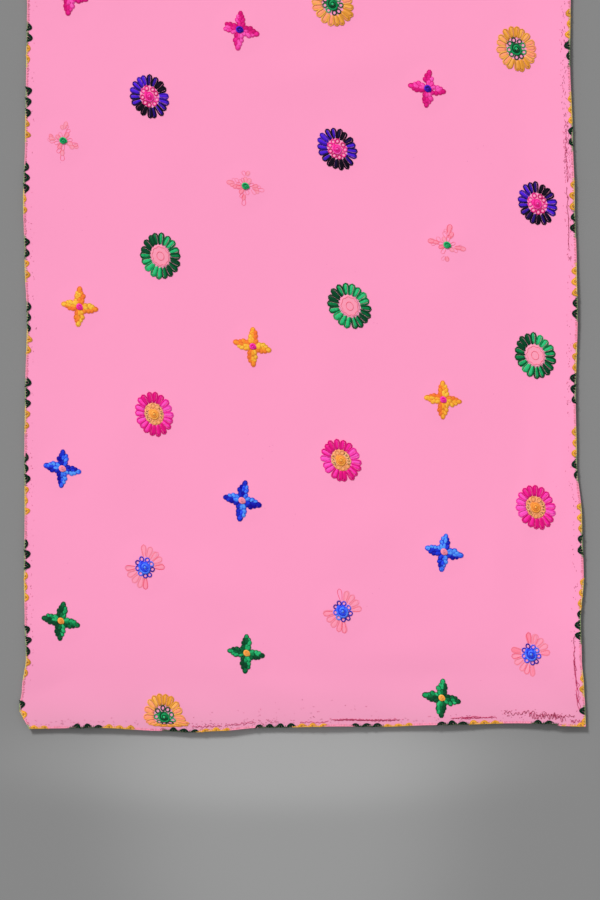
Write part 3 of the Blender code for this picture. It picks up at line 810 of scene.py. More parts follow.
def edging_tree():
    """Teeth, a cord and overcast stitches that follow one edge."""
    nodes, given = new_tree("Edging", Object="Tooth, Overcast", Int="Seed",
                            Float="Pitch, Depth, Corner, Overcast Pitch, Cord, Wear")
    path = nodes.get("MeshToCurve", {"Mesh": given["Geometry"]})
    seed = given["Seed"]

    def heading(swing, offset):
        """The way the edge runs, give or take a swing."""
        x, y, _ = nodes.parts(nodes.get("InputTangent"))
        return nodes.math("ARCTAN2", y, x) + nodes.chance(-swing, swing, seed + offset)

    inset = given["Corner"] / nodes.get("CurveLength", {"Curve": path})
    inner = nodes.get("TrimCurve", {"Curve": path, "Start": inset, "End": 1.0 - inset}, mode="FACTOR")
    teeth = nodes.stored(nodes.stepped(inner, given["Pitch"]), tone=nodes.chance(0.0, 1.0, seed))
    full = nodes.attribute("full")
    deep = given["Depth"] * nodes.chance(0.60, 1.14, seed + 1) * full
    wide = nodes.chance(0.92, 1.14, seed + 2) * full
    teeth = nodes.instanced(teeth, given["Tooth"], heading(0.32, 3), wide, deep, full * (full * full))
    stitches = nodes.stored(nodes.stepped(path, given["Overcast Pitch"]),
                            tone=nodes.chance(0.0, 1.0, seed + 4),
                            worn=given["Wear"] * nodes.chance(0.1, 1.7, seed + 8))
    stitches = nodes.instanced(stitches, given["Overcast"], heading(0.25, 6), 1.0,
                               nodes.chance(0.75, 1.20, seed + 5), 1.0)
    cord = nodes.stored(nodes.tube(nodes.stepped(path, 0.004), 6, given["Cord"]),
                        tone=nodes.chance(0.3, 0.8, seed + 7), shade=0.6, worn=given["Wear"])
    together = nodes.add("JoinGeometry")
    for part in (cord, stitches, teeth):
        nodes.put(together.inputs["Geometry"], part)
    return end_tree(nodes, Value(nodes, together.outputs[0]), given)


def loose_thread_tree():
    """A thin thread along each path, smoothed and flattened a little."""
    nodes, given = new_tree("Loose Thread", Float="Radius, Step")
    path = nodes.get("MeshToCurve", {"Mesh": given["Geometry"]})
    smooth = nodes.get("CurveSplineType", {"Curve": path}, spline_type="CATMULL_ROM")
    thread = nodes.tube(nodes.stepped(smooth, given["Step"]), 4, given["Radius"])
    return end_tree(nodes, nodes.stored(thread, shade=0.5), given)


# ---------------------------------------------------------------- stitches


def smooth_path(corners, count):
    """Points at even steps along a smooth curve through given corners."""
    corners = np.array(corners, float)
    padded = np.vstack([2 * corners[0] - corners[1], corners, 2 * corners[-1] - corners[-2]])
    fine = []
    for a, b, c, d in zip(padded, padded[1:], padded[2:], padded[3:]):
        for t in np.linspace(0, 1, 16, endpoint=False):
            fine.append(0.5 * (2 * b + (c - a) * t + (2 * a - 5 * b + 4 * c - d) * t ** 2
                               + (3 * b - a - 3 * c + d) * t ** 3))
    fine = np.array(fine + [corners[-1]])
    run = np.concatenate([[0], np.cumsum(np.linalg.norm(np.diff(fine, axis=0), axis=1))])
    at = np.linspace(0, run[-1], count)
    return np.stack([np.interp(at, run, fine[:, k]) for k in range(3)], axis=1)


def added(name, data):
    """A new object in the scene."""
    made = bpy.data.objects.new(name, data)
    bpy.context.scene.collection.objects.link(made)
    return made


def carry(mesh, name, values, kind="FLOAT", field="value"):
    """Gives a mesh's points a named value each."""
    layer = mesh.attributes.new(name, kind, "POINT")
    layer.data.foreach_set(field, np.array(values, np.float32).ravel())


class Stitch:
    """A stitch built of threads and pads, each closed."""

    def __init__(self):
        self.points = []
        self.faces = []
        self.coordinates = []
        self.shades = []

    def face(self, ring, coordinates):
        self.faces.append(tuple(ring))
        self.coordinates += coordinates

    def thread(self, path, radius, shade, sides=5, closed=False, flat=1.0):
        """Adds one thread. Its coordinates run along it in metres and once round it."""
        path = np.asarray(path, float)
        count = len(path)
        ahead = np.roll(path, -1, axis=0) if closed else np.vstack([path[1:], 2 * path[-1] - path[-2]])
        back = np.roll(path, 1, axis=0) if closed else np.vstack([2 * path[0] - path[1], path[:-1]])
        tangent = ahead - back
        tangent /= np.linalg.norm(tangent, axis=1)[:, None]
        side = np.cross(tangent, (0.0, 0.0, 1.0))
        lengths = np.linalg.norm(side, axis=1)[:, None]
        side = np.where(lengths > 0.2, side / np.maximum(lengths, 1e-9), (1.0, 0.0, 0.0))
        over = np.cross(side, tangent)
        over /= np.linalg.norm(over, axis=1)[:, None]
        widths = np.full(count, radius)
        if not closed:
            widths[[0, -1]] *= THREAD_TAPER
        first = len(self.points)
        for i in range(count):
            for k in range(sides):
                turn = 2 * math.pi * (k + 0.5) / sides
                aside, up = math.cos(turn), math.sin(turn) * flat
                self.points.append(path[i] + widths[i] * (side[i] * aside + over[i] * up))
        self.shades += np.repeat(np.broadcast_to(shade, count), sides).tolist()
        runs = np.concatenate([[0], np.cumsum(np.linalg.norm(np.diff(path, axis=0), axis=1))]).tolist()
        step = runs[-1] / (count - 1)
        for i in range(count if closed else count - 1):
            here, there = first + i * sides, first + (i + 1) % count * sides
            for k in range(sides):
                n = (k + 1) % sides
                low, high, end = k / sides, (k + 1) / sides, runs[i] + step
                self.face((here + k, here + n, there + n, there + k),
                          [(runs[i], low), (runs[i], high), (end, high), (end, low)])
        if not closed:
            last = first + (count - 1) * sides
            self.face(range(first + sides - 1, first - 1, -1), [(runs[0], 0.5)] * sides)
            self.face(range(last, last + sides), [(runs[-1], 0.5)] * sides)
        return self

    def pad(self, rows, shade, across=6, aside=0.0):
        """Adds a low flat-topped satin pad. Each row gives a place along it, a half width and a height."""
        first = len(self.points)
        for along, half, height in rows:
            for k in range(across):
                turn = math.pi * k / (across - 1)
                top = height * max(math.sin(turn), 0.0) ** FLAT_TOP
                self.points.append(np.array((along, aside - half * math.cos(turn), top)))
                self.shades.append(shade)
        last = first + (len(rows) - 1) * across
        for start in range(first, last, across):
            for k in range(across):
                n = (k + 1) % across
                ring = (start + k, start + across + k, start + across + n, start + n)
                self.face(ring, [(0.0, self.points[point][1] / SATIN_PITCH) for point in ring])
        self.face(range(first, first + across), [(0.0, 0.5)] * across)
        self.face(range(last + across - 1, last - 1, -1), [(0.0, 0.5)] * across)
        return self

    def object(self, name):
        """The stitch as an object that the trees place; it never shows itself."""
        mesh = bpy.data.meshes.new(name)
        mesh.from_pydata([tuple(p) for p in self.points], [], self.faces)
        layer = mesh.uv_layers.new(name="UVMap")
        layer.data.foreach_set("uv", np.array(self.coordinates, np.float32).ravel())
        carry(mesh, "shade", self.shades)
        mesh.shade_smooth()
        made = added(name, mesh)
        made.hide_render = True
        return made


def millimetres(*corners):
    """Corners or rows in millimetres as metres."""
    return [tuple(value / 1000 for value in corner) for corner in corners]


def mirrored(*half, axis=1):
    """A whole path from one half, in millimetres, that ends on the middle line."""
    half = millimetres(*half)
    other = [[-value if k == axis else value for k, value in enumerate(corner)] for corner in half[:-1]]
    return half + other[::-1]


def oval(middle, long, wide, height, count):
    turns = [2 * math.pi * i / count for i in range(count)]
    return [(middle + long * math.cos(turn), wide * math.sin(turn), height) for turn in turns]


def spiral(radius, inner, turns, low, high, count):
    path = []
    for i in range(count):
        part = i / (count - 1)
        reach = radius + (inner - radius) * part
        angle = 2 * math.pi * turns * part
        path.append((reach * math.cos(angle), reach * math.sin(angle), low + (high - low) * part))
    return path


THREAD_TAPER = 0.7
SATIN_PITCH = 0.0006
PALE_SHADE = 0.85
FLAT_TOP = 0.35
SLIT_ASIDE = 0.00025
PETAL_LENGTH, PETAL_WIDTH = 0.0150, 0.0060
LOOP_LENGTH, LOOP_WIDTH = 0.0068, 0.0060
LOBE_REACH = 0.0256
LOBE_SHARE = 0.58
OUTLINE_WIDTH = 0.9
OUTLINE_RELIEF = 0.16
FLAT_RELIEF = 0.2
TOOTH_LENGTH = 0.0080
KNOB_RADIUS = 0.0050
DISC_RADIUS = 0.0100
DISC_ROWS = (-0.98, -0.88, -0.66, -0.36, 0.0, 0.36, 0.66, 0.88, 0.98)
MARK_LENGTH, MARK_WIDTH = 0.0026, 0.0010
COIL_POINTS = 34
SWIRL_POINTS = 54
SWIRL_SCALLOPS = 9


def petal_stitch():
    """A long satin loop with a narrow slit at each side of its middle thread."""
    rim = mirrored((0, -1.4, 0.2), (5, -1.9, 0.4), (9.6, -2.2, 0.5), (12.4, -1.9, 0.4), (13.9, -1, 0.4),
                   (14.4, 0, 0.4))
    fill = millimetres((0.6, 0.7, 0.5), (4.5, 1.2, 0.7), (10, 1.45, 0.7), (13.2, 1, 0.5))
    made = Stitch().thread(smooth_path(rim, 15), 0.00080, 0.10, flat=0.7)
    return made.pad(fill, 0.95, aside=SLIT_ASIDE)


def outline_stitch():
    """A petal drawn with one thin thread."""
    rim = mirrored((0, -0.9, 0.1), (5.5, -1.8, 0.2), (10.8, -2.3, 0.2), (14, -1.3, 0.2), (14.7, 0, 0.2))
    return Stitch().thread(smooth_path(rim, 13), 0.00038, 0.5, sides=4, flat=0.35)


def loop_stitch():
    """A small open ring of thread."""
    return Stitch().thread(oval(0.0034, 0.0027, 0.0023, 0.0004, 12), 0.00074, 0.45, closed=True, flat=0.8)


def knob_stitch():
    """A low domed coil with paler arcs and a small eye."""
    coil = spiral(0.0042, 0.0014, 2.3, 0.0003, 0.0006, COIL_POINTS)
    arcs = [0.45 + 0.45 * math.sin(3.1 * i / 12) for i in range(COIL_POINTS)]
    made = Stitch().thread(coil, 0.00100, np.array(arcs), flat=0.55)
    made.thread(oval(0.0, 0.0015, 0.0015, 0.0008, 10), 0.00045, 0.2, sides=4, closed=True)
    return made.thread(oval(0.0, 0.0005, 0.0005, 0.0009, 6), 0.00060, 1.7, sides=4, closed=True)


def disc_stitch():
    """A flat round patch of satin stitches."""
    rows = [(DISC_RADIUS * at, DISC_RADIUS * math.sqrt(1 - at * at), 0.0003) for at in DISC_ROWS]
    return Stitch().pad(rows, 0.6, across=8)


def swirl_stitch():
    """A thin ring and a scalloped ring, drawn with one thread."""
    made = Stitch().thread(oval(0.0, 0.0038, 0.0036, 0.0001, 14), 0.00022, 0.5, sides=4, closed=True)
    path = []
    for i in range(SWIRL_POINTS):
        turn = 2 * math.pi * i / SWIRL_POINTS
        reach = 0.0076 + 0.0009 * abs(math.sin(SWIRL_SCALLOPS * turn / 2))
        path.append((reach * math.cos(turn), reach * math.sin(turn), 0.0001))
    return made.thread(path, 0.00017, 0.5, sides=4, closed=True)


def mark_stitch():
    """A tiny straight stitch."""
    path = millimetres((0, 0, 0.2), (1.2, 0.1, 0.5), (2.6, 0, 0.1))
    return Stitch().thread(smooth_path(path, 3), 0.00042, 0.0, sides=4)


def lobe_stitch():
    """A short satin lobe inside a thin rim."""
    made = Stitch().pad(millimetres((0, 1, 0.6), (2.6, 1.9, 0.9), (5.6, 2.1, 0.9), (7.7, 1.1, 0.7)), 0.75)
    rim = mirrored((0, -1.4, 0.2), (2.8, -2.4, 0.3), (5.4, -2.6, 0.3), (7.6, -1.5, 0.3), (8.4, 0, 0.3))
    return made.thread(smooth_path(rim, 10), 0.00060, 0.10, sides=4, flat=0.9)


def tooth_stitch():
    """A rounded tooth: two arches round a short middle thread."""
    rim = mirrored((-5.7, 0.1, 0.2), (-4.3, 1.8, 0.3), (-2.9, 4.6, 0.4), (-1.2, 6.4, 0.5), (0, 6.8, 0.5),
                   axis=0)
    fill = mirrored((-3.4, 0.3, 0.4), (-2.1, 3.2, 0.6), (0, 5, 0.7), axis=0)
    heart = millimetres((0, 0.2, 0.7), (0, 1.8, 0.9), (0, 3.2, 0.8))
    made = Stitch().thread(smooth_path(rim, 11), 0.00085, 0.25, flat=0.75)
    made.thread(smooth_path(fill, 8), 0.00105, 0.60, flat=0.8)
    return made.thread(smooth_path(heart, 3), 0.00125, 0.0, flat=0.7)


def overcast_stitch():
    """A short stitch that wraps round the cloth's very edge."""
    path = millimetres((0.3, 2.6, 0.1), (0.2, 1, 0.5), (0, -0.6, 0.1), (-0.2, -0.4, -1.1),
                       (-0.3, 1.2, -1.3), (-0.3, 2.2, -1.2))
    return Stitch().thread(smooth_path(path, 7), 0.00036, 0.5)


def loose_end_stitch():
    """A tiny loose end, 1 mm long before it is sized."""
    path = millimetres((-0.5, 0, 0.05), (0, 0.06, 0.3), (0.5, 0, 0.05))
    return Stitch().thread(smooth_path(path, 3), 0.00020, 0.5, sides=4)


# ---------------------------------------------------------------- materials


def new_group(name, results, **inputs):
    """A shader group with named inputs, which puts out numbers."""
    group = bpy.data.node_groups.new(name, "ShaderNodeTree")
    add_sockets(group, "INPUT", inputs)
    add_sockets(group, "OUTPUT", {"Float": results})
    nodes = Nodes(group)
    return nodes, nodes.given()


def thread_twist(name):
    """The height of a twisted thread and the shade painted into its grooves, from the thread's own
    coordinates.
    """
    nodes, given = new_group(name, "Height, Groove", Vector="Thread", Float="Pitch")
    along, round_it, _ = nodes.parts(given["Thread"])
    turns = along / given["Pitch"] + round_it
    height = (nodes.math("SINE", turns * (2 * math.pi)) + 1.0) * 0.5
    nodes.add("NodeGroupOutput", {"Height": height, "Groove": (1.0 - height) ** 3.0})


def dye_drift(name):
    """An uneven dye: slow clouds and fine mottling round 1."""
    nodes, given = new_group(name, "Factor", Vector="Place", Float="Scale, Amount")
    slow = nodes.get("TexNoise", {"Vector": given["Place"], "Scale": given["Scale"], "Detail": 3.0})
    nodes.add("NodeGroupOutput", {"Factor": (slow - 0.5) * given["Amount"] + 1.0})


def plain_weave(name):
    """The height of a plain weave of two crossing sets of threads."""
    nodes, given = new_group(name, "Height", Vector="Place", Float="Thread")
    x, y, _ = nodes.parts(given["Place"] * (math.pi / given["Thread"]))
    warp, weft = nodes.math("SINE", x), nodes.math("SINE", y)
    ribs = nodes.math("ABSOLUTE", warp) + nodes.math("ABSOLUTE", weft)
    nodes.add("NodeGroupOutput", {"Height": warp * weft * 0.5 + ribs * 0.35})


GROUPS = {"Thread Twist": thread_twist, "Dye Drift": dye_drift, "Plain Weave": plain_weave}


def grouped(nodes, name, **inputs):
    """Places a shared shader group, which is built the first time, and gives its outputs."""
    if name not in bpy.data.node_groups:
        GROUPS[name](name)
    node = nodes.add("Group", node_tree=bpy.data.node_groups[name])
    for key, value in inputs.items():
        nodes.put(node.inputs[key], value)
    return nodes.outputs(node)


def new_material(name, roughness, specular, sheen, sheen_roughness):
    material = bpy.data.materials.new(name)
    material.use_nodes = True
    sockets = material.node_tree.nodes["Principled BSDF"].inputs
    sockets["Roughness"].default_value = roughness
    sockets["Specular IOR Level"].default_value = specular
    sockets["Sheen Weight"].default_value = sheen
    sockets["Sheen Roughness"].default_value = sheen_roughness
    return material, Nodes(material.node_tree), sockets


def place_on_piece(nodes):
    return nodes.get("TexCoord", output="Object")


def carried(nodes, name, output="Fac"):
    """A named value that the piece's points carry."""
    return nodes.get("Attribute", output=output, attribute_name=name)


def ranged(nodes, value, low, high):
    return nodes.get("MapRange", {"Value": value, 3: low, 4: high})


def bumped(nodes, sockets, height, strength, distance):
    """Gives a material its fine relief."""
    nodes.put(sockets["Normal"], nodes.get("Bump", {"Height": height, "Strength": strength,
                                                    "Distance": distance}))


def cloth_material(settings):
    """Soft even crepe: a fine weave, faint clouds in the dye, a few loose flecks, and painted shade that
    darkens it towards both short ends.
    """
    material, nodes, sockets = new_material("stole_cloth", 0.92, 0.12, 0.08, 0.5)
    place = place_on_piece(nodes)
    drift = grouped(nodes, "Dye Drift", Place=place, Scale=6.0, Amount=0.030)
    # Painted shade: the colour goes over to the darker hem shade colour near both short ends.
    from_end = LENGTH / 2 - nodes.math("ABSOLUTE", nodes.parts(place)[1])
    deep = math.e ** (from_end / -settings.hem_reach)
    dyed = nodes.mixed(deep, (*settings.colour, 1), (*settings.hem_colour, 1))
    specks = nodes.get("TexVoronoi", {"Vector": place, "Scale": 95.0, "Randomness": 1.0}, "Distance")
    rare = nodes.get("TexNoise", {"Vector": place, "Scale": 9.0, "Detail": 1.0})
    flecks = (specks < 0.055) * (rare > 0.63) * 0.45
    nodes.put(sockets["Base Color"], nodes.mixed(flecks, dyed * drift["Factor"], (*settings.fleck, 1)))
    weave = grouped(nodes, "Plain Weave", Place=place, Thread=settings.thread)
    slub = nodes.get("TexNoise", {"Vector": place, "Scale": 900.0, "Detail": 2.0})
    bumped(nodes, sockets, weave["Height"] + slub, 0.25, 0.0001)
    return material


# Every thread's roughness, specular, sheen and sheen roughness
THREAD_FINISH = (0.55, 0.08, 0.0, 0.4)


def finish_thread(nodes, sockets, colour, shade):
    """Darkens a thread at its rim, paints shade into the grooves of its twist, and gives it its twisted
    relief.
    """
    thread = nodes.get("UVMap", uv_map="UVMap")
    twist = grouped(nodes, "Thread Twist", Thread=thread, Pitch=0.0012)
    # Painted shade: the colour is darkened in the grooves between the plies.
    groove_shade = 1.0 - twist["Groove"] * 0.16
    nodes.put(sockets["Base Color"], colour * (ranged(nodes, shade, 0.94, 1.08) * groove_shade))
    bumped(nodes, sockets, twist["Height"], 0.4, 0.0002)


def thread_material(name):
    """A variegated thread: its dye goes from deep to bright with each stitch's tone."""
    found = bpy.data.materials.get(f"thread_{name}")
    if found:
        return found
    reel = next(reel for reel in REELS if reel.name == name)
    material, nodes, sockets = new_material(f"thread_{name}", *THREAD_FINISH)
    tone, shade = carried(nodes, "tone"), carried(nodes, "shade")
    drift = grouped(nodes, "Dye Drift", Place=place_on_piece(nodes), Scale=420.0, Amount=1.3)
    toned = tone * drift["Factor"] + (shade - PALE_SHADE) * reel.edge
    ramp = nodes.add("ValToRGB", {"Fac": toned})
    stops = ramp.color_ramp.elements
    stops.new(0.5)
    for stop, at, step in zip(stops, DYE_STOPS, DYE_STEPS):
        stop.position = at
        stop.color = (*getattr(bpy.context.scene.stole_dyes, f"{name}_{step}"), 1)
    finish_thread(nodes, sockets, Value(nodes, ramp.outputs["Color"]), shade)
    return material


def edging_material(pale):
    """The edging's thread: each stitch carries the dye of its place along the edge."""
    found = bpy.data.materials.get("thread_edging")
    if found:
        return found
    material, nodes, sockets = new_material("thread_edging", *THREAD_FINISH)
    tone, shade = carried(nodes, "tone"), carried(nodes, "shade")
    dyed = carried(nodes, "dye", "Color")
    dyed = dyed * (ranged(nodes, tone, 0.85, 1.15) * ranged(nodes, shade, 0.66, 1.26))
    unlike_pink = 1.0 - nodes.parts(dyed)[2] * 2.0
    # The stitches over the very edge go over to the pale rim colour by how much paler they are set to be.
    worn = carried(nodes, "worn") * unlike_pink
    finish_thread(nodes, sockets, nodes.mixed(worn, dyed, (*pale, 1)), shade)
    return material


# ---------------------------------------------------------------- making pieces


def points_object(places, **values):
    """Loose points with named values, for a tree to work on."""
    mesh = bpy.data.meshes.new("points")
    mesh.from_pydata([tuple(p) for p in places], [], [])
    for name, value in values.items():
        carry(mesh, name, value)
    return added("points", mesh)


def worked(source, tree, **inputs):
    """Runs a tree on an object and keeps the result as a plain mesh; the source is used up."""
    modifier = source.modifiers.new("Stitches", "NODES")
    modifier.node_group = tree
    inputs = {name.replace("_", " "): value for name, value in inputs.items()}
    for item in tree.interface.items_tree:
        if item.item_type == "SOCKET" and item.in_out == "INPUT" and item.name in inputs:
            modifier[item.identifier] = inputs[item.name]
    bpy.context.view_layer.update()
    evaluated = source.evaluated_get(bpy.context.evaluated_depsgraph_get())
    mesh = bpy.data.meshes.new_from_object(evaluated)
    source.modifiers.remove(modifier)
    bpy.data.objects.remove(source)
    return mesh


# One stitch of those that are placed one by one: where it is, how it is turned and sized, and its tone
Placed = namedtuple("Placed", "place turn long wide high tone")


def placed(stitch, relief, reel, rows):
    """Works one stitch at each row's place, in one thread."""
    tree = bpy.data.node_groups.get("Placed Stitches") or placed_tree()
    places, *values = zip(*rows)
    source = points_object(places, **dict(zip(Placed._fields[1:], values)))
    return worked(source, tree, Stitch=stitch, Relief=relief, Material=thread_material(reel))


def points_of(mesh):
    """The places of a mesh's points, one row each."""
    co = np.zeros(len(mesh.vertices) * 3, np.float32)
    mesh.vertices.foreach_get("co", co)
    return co.reshape(-1, 3)


def laid(name, meshes, slot, *nodes):
    piece = added(name, meshes[0])
    parts = [piece, *(added(name + "_part", mesh) for mesh in meshes[1:])]
    with bpy.context.temp_override(active_object=piece, object=piece, selected_objects=parts,
                                   selected_editable_objects=parts):
        bpy.ops.object.join()
    mesh = piece.data
    co = points_of(mesh).astype(float)
    co[:, 2] = np.maximum(co[:, 2] + cloth_top(co[:, 0], co[:, 1]), LOWEST_THREAD)
    mesh.vertices.foreach_set("co", co.astype(np.float32).ravel())
    mesh.update()
    if not len(mesh.polygons):
        raise RuntimeError(f"{name} came out empty")
    declare(piece, slot, *nodes)


def crisp(meshes, relief):
    """Keeps the tops of very flat stitches from shading over towards their sides."""
    if relief < FLAT_RELIEF:
        for mesh in meshes:
            mesh.set_sharp_from_angle(angle=CRISP)
    return meshes


def drawn_in(mesh):
    """Draws the near side of the flower by the near hem back inside it, and out along it to the right."""
    _, _, flower_x, flower_y = DAISIES[0]
    co = points_of(mesh)
    near = (co[:, 1] < flower_y) & (np.abs(co[:, 0] - flower_x) < 2 * DAISY_REACH)
    room = flower_y - hem_edge(co[near, 0]) - HEM_CLEARANCE
    drawn = 1 - np.exp(-(flower_y - co[near, 1]) / room)
    co[near, 1] = flower_y - room * drawn
    co[near, 0] += HEM_SPREAD * drawn * np.maximum(co[near, 0] - flower_x, 0)
    mesh.vertices.foreach_set("co", co.ravel())
    return mesh


def declare(piece, slot, *nodes):
    """Says what a piece rides on and hides the nodes that it stands for. The slot of its finish is not
    used.
    """
    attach(piece, "root")
    if nodes:
        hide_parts(*nodes)


def made_units(**units):
    """The stitches as objects for the trees, by name."""
    return {name: unit.object(f"{name}_stitch") for name, unit in units.items()}


def remove_units(units):
    for unit in units.values():
        bpy.data.objects.remove(unit)


class StoleWeaveCloth(Operator):
    bl_idname = "stole.weave_cloth"
    bl_label = "Cloth"

    def execute(self, context):
        settings = context.scene.stole_cloth
        columns = round(WIDTH / settings.grid)
        rows = round(LENGTH / settings.grid)
        u, v = np.meshgrid(np.linspace(0, 1, columns + 1), np.linspace(0, 1, rows + 1))
        nominal = -WIDTH / 2 + WIDTH * u
        y = hem_edge(nominal) + (far_edge(nominal) - hem_edge(nominal)) * v
        left = left_edge_cut(y)
        x = left + (right_edge(y) - left) * u
        top = cloth_top(x.ravel(), y.ravel())
        under = np.maximum(top - settings.thickness, 0.0)
        points = np.vstack([np.stack([x.ravel(), y.ravel(), z], axis=1) for z in (top, under)])
        count = len(top)
        index = np.arange(count).reshape(rows + 1, columns + 1)
        a, b = index[:-1, :-1].ravel(), index[:-1, 1:].ravel()
        c, d = index[1:, 1:].ravel(), index[1:, :-1].ravel()
        faces = [*np.stack([a, b, c, d], 1).tolist(), *(np.stack([a, d, c, b], 1) + count).tolist()]
        rim = [*index[0, :], *index[1:, -1], *index[-1, -2::-1], *index[-2:0:-1, 0]]
        for one, two in zip(rim, rim[1:] + rim[:1]):
            faces.append((one + count, two + count, two, one))
        mesh = bpy.data.meshes.new("cloth")
        mesh.from_pydata(points.tolist(), [], faces)
        mesh.shade_smooth()
        mesh.set_sharp_from_angle(angle=CRISP)
        mesh.materials.append(cloth_material(settings))
        piece = added("cloth", mesh)
        declare(piece, "cloth", "cloth_panel")
        on_it = [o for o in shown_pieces() if o is not piece and "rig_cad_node" not in o]
        return {"FINISHED"}


def daisy_points(index):
    """The centres of one kind of daisy, each with its own turn, size and phase."""
    kind = DAISY_KINDS[index]
    chosen = flowers_of(DAISIES, DAISY_KINDS, index)
    draws = [random.Random(100 * column + row + 1) for column, row, _, _ in chosen]
    lean = bpy.context.scene.stole_daisy.lean
    phase = kind.runs * (lean - math.pi / 2 - math.radians(kind.palest))
    return points_object(
        [(x, y, 0) for _, _, x, y in chosen],
        turned=[COLUMN_TURNS[column] + draw.uniform(-0.07, 0.07)
                for draw, (column, *_) in zip(draws, chosen)],
        size=[kind.grown * draw.uniform(0.98, 1.02) for draw in draws],
        phase=[phase + draw.uniform(-0.5, 0.5) for draw in draws])


def coils(index, unit, wide, reel, lift, sizes):
    """A coil at the middle of each daisy of one kind, drawn out along the daisy's longer axis."""
    draw = random.Random(300 + index)
    rows = [Placed((x, y, lift), sizes.lean, wide * sizes.along / sizes.across, wide, 1.0,
                   draw.uniform(0.45, 0.65) + KNOB_GLOW.get(reel, 0))
            for _, _, x, y in flowers_of(DAISIES, DAISY_KINDS, index)]
    return placed(unit, 1.0, reel, rows)


class StoleWorkDaisies(Operator):
    """Work the daisies: a ring of satin petals, a ring of small loops and a knob, by thread colour"""

    bl_idname = "stole.work_daisies"
    bl_label = "Daisies"

    def execute(self, context):
        sizes = context.scene.stole_daisy
        ring = ring_tree()
        units = made_units(petal=petal_stitch(), outline=outline_stitch(), loop=loop_stitch(),
                           knob=knob_stitch(), disc=disc_stitch(), swirl=swirl_stitch(),
                           mark=mark_stitch())
        shared = {"Across": sizes.across, "Along": sizes.along, "Lean": sizes.lean}
        petals = {**shared, "Stitches": sizes.petals, "Root": sizes.root, "Tip": 1.0, "Lift": 0.0,
                  "Stitch_Width": PETAL_WIDTH, "Stitch_Length": PETAL_LENGTH, "Contrast": 0.55}
        loops = {**shared, "Stitches": sizes.loops, "Root": sizes.loop_root, "Tip": sizes.loop_tip,
                 "Stitch_Width": LOOP_WIDTH, "Stitch_Length": LOOP_LENGTH, "Fullness": 0.37, "Relief": 0.7,
                 "Lift": 0.0002, "Least": ALL_PETALS, "Contrast": 0.35}
        marks = {**loops, "Stitches": 2 * sizes.loops, "Root": 0.34, "Tip": 0.42, "Relief": 1.0,
                 "Stitch_Width": MARK_WIDTH, "Stitch_Length": MARK_LENGTH, "Fullness": 0.11,
                 "Lift": 0.0008, "Least": -0.2}
        for index, kind in enumerate(DAISY_KINDS):

            def ringed(unit, reel, inputs, seed, **more):
                """One ring of stitches on each daisy of this kind."""
                return worked(daisy_points(index), ring, **{
                    **inputs, **more, "Stitch": units[unit], "Seed": 10 * index + seed,
                    "Runs": kind.runs, "Material": thread_material(reel)})

            some_left_out = kind.least > ALL_PETALS
            made = [ringed("petal", kind.petals, petals, 0, Fullness=kind.full, Relief=kind.relief,
                           Least=kind.least + some_left_out * FILL_MARGIN)]
            if some_left_out:
                made.append(ringed("outline", kind.marks, petals, 2, Fullness=0.80, Relief=OUTLINE_RELIEF,
                                   Least=kind.least, Lift=0.0001))
            made = crisp([drawn_in(mesh) for mesh in made], kind.relief)
            laid(f"daisies_{kind.petals}", made, "thread_flowers")
            made = []
            room = sizes.loop_tip * sizes.across / 2 / DISC_RADIUS
            if kind.ground:
                made.append(coils(index, units["disc"], room, kind.ground, 0.0, sizes))
            if kind.centre == "blush":
                made.append(coils(index, units["swirl"], room, kind.centre, 0.0004, sizes))
            else:
                made.append(ringed("loop", kind.ground or kind.centre, loops, 1))
                knob = kind.knob / KNOB_RADIUS
                made.append(coils(index, units["knob"], knob, kind.centre, 0.0005, sizes))
            if kind.marks and kind.ground:
                made.append(ringed("mark", kind.marks, marks, 4))
            made = [drawn_in(mesh) for mesh in made]
            laid(f"daisy_centres_{kind.centre}", made, "thread_flowers")
        remove_units(units)
        return {"FINISHED"}


def cross_arm(draw, kind, centre, angle, reach):
    """The lobes of one arm of a cross flower, as stitches to be placed."""
    out = np.array((math.cos(angle), math.sin(angle)))
    aside = np.array((-out[1], out[0]))
    light = draw.choice((-1, 1))
    base = kind.tone + draw.uniform(-0.10, 0.10)
    plump = draw.uniform(0.96, 1.10)
    for lobe in ARM_LOBES:
        offset = LOBE_ASIDE * lobe.side + draw.uniform(-LOBE_STRAY, LOBE_STRAY)
        at = np.array(centre) + out * reach * lobe.along + aside * offset
        size = reach / LOBE_REACH * draw.uniform(0.92, 1.08)
        shift = 0.32 * light * (np.sign(lobe.side) or draw.choice((-0.6, 0.6)))
        shift += draw.uniform(-0.18, 0.18)
        if draw.random() > kind.kept:
            continue
        yield Placed((*at, 0.0002 * (1 - lobe.along)), angle + lobe.lean + draw.uniform(-0.14, 0.14),
                     lobe.length * size, lobe.width * size * plump, draw.uniform(0.85, 1.15), base + shift)


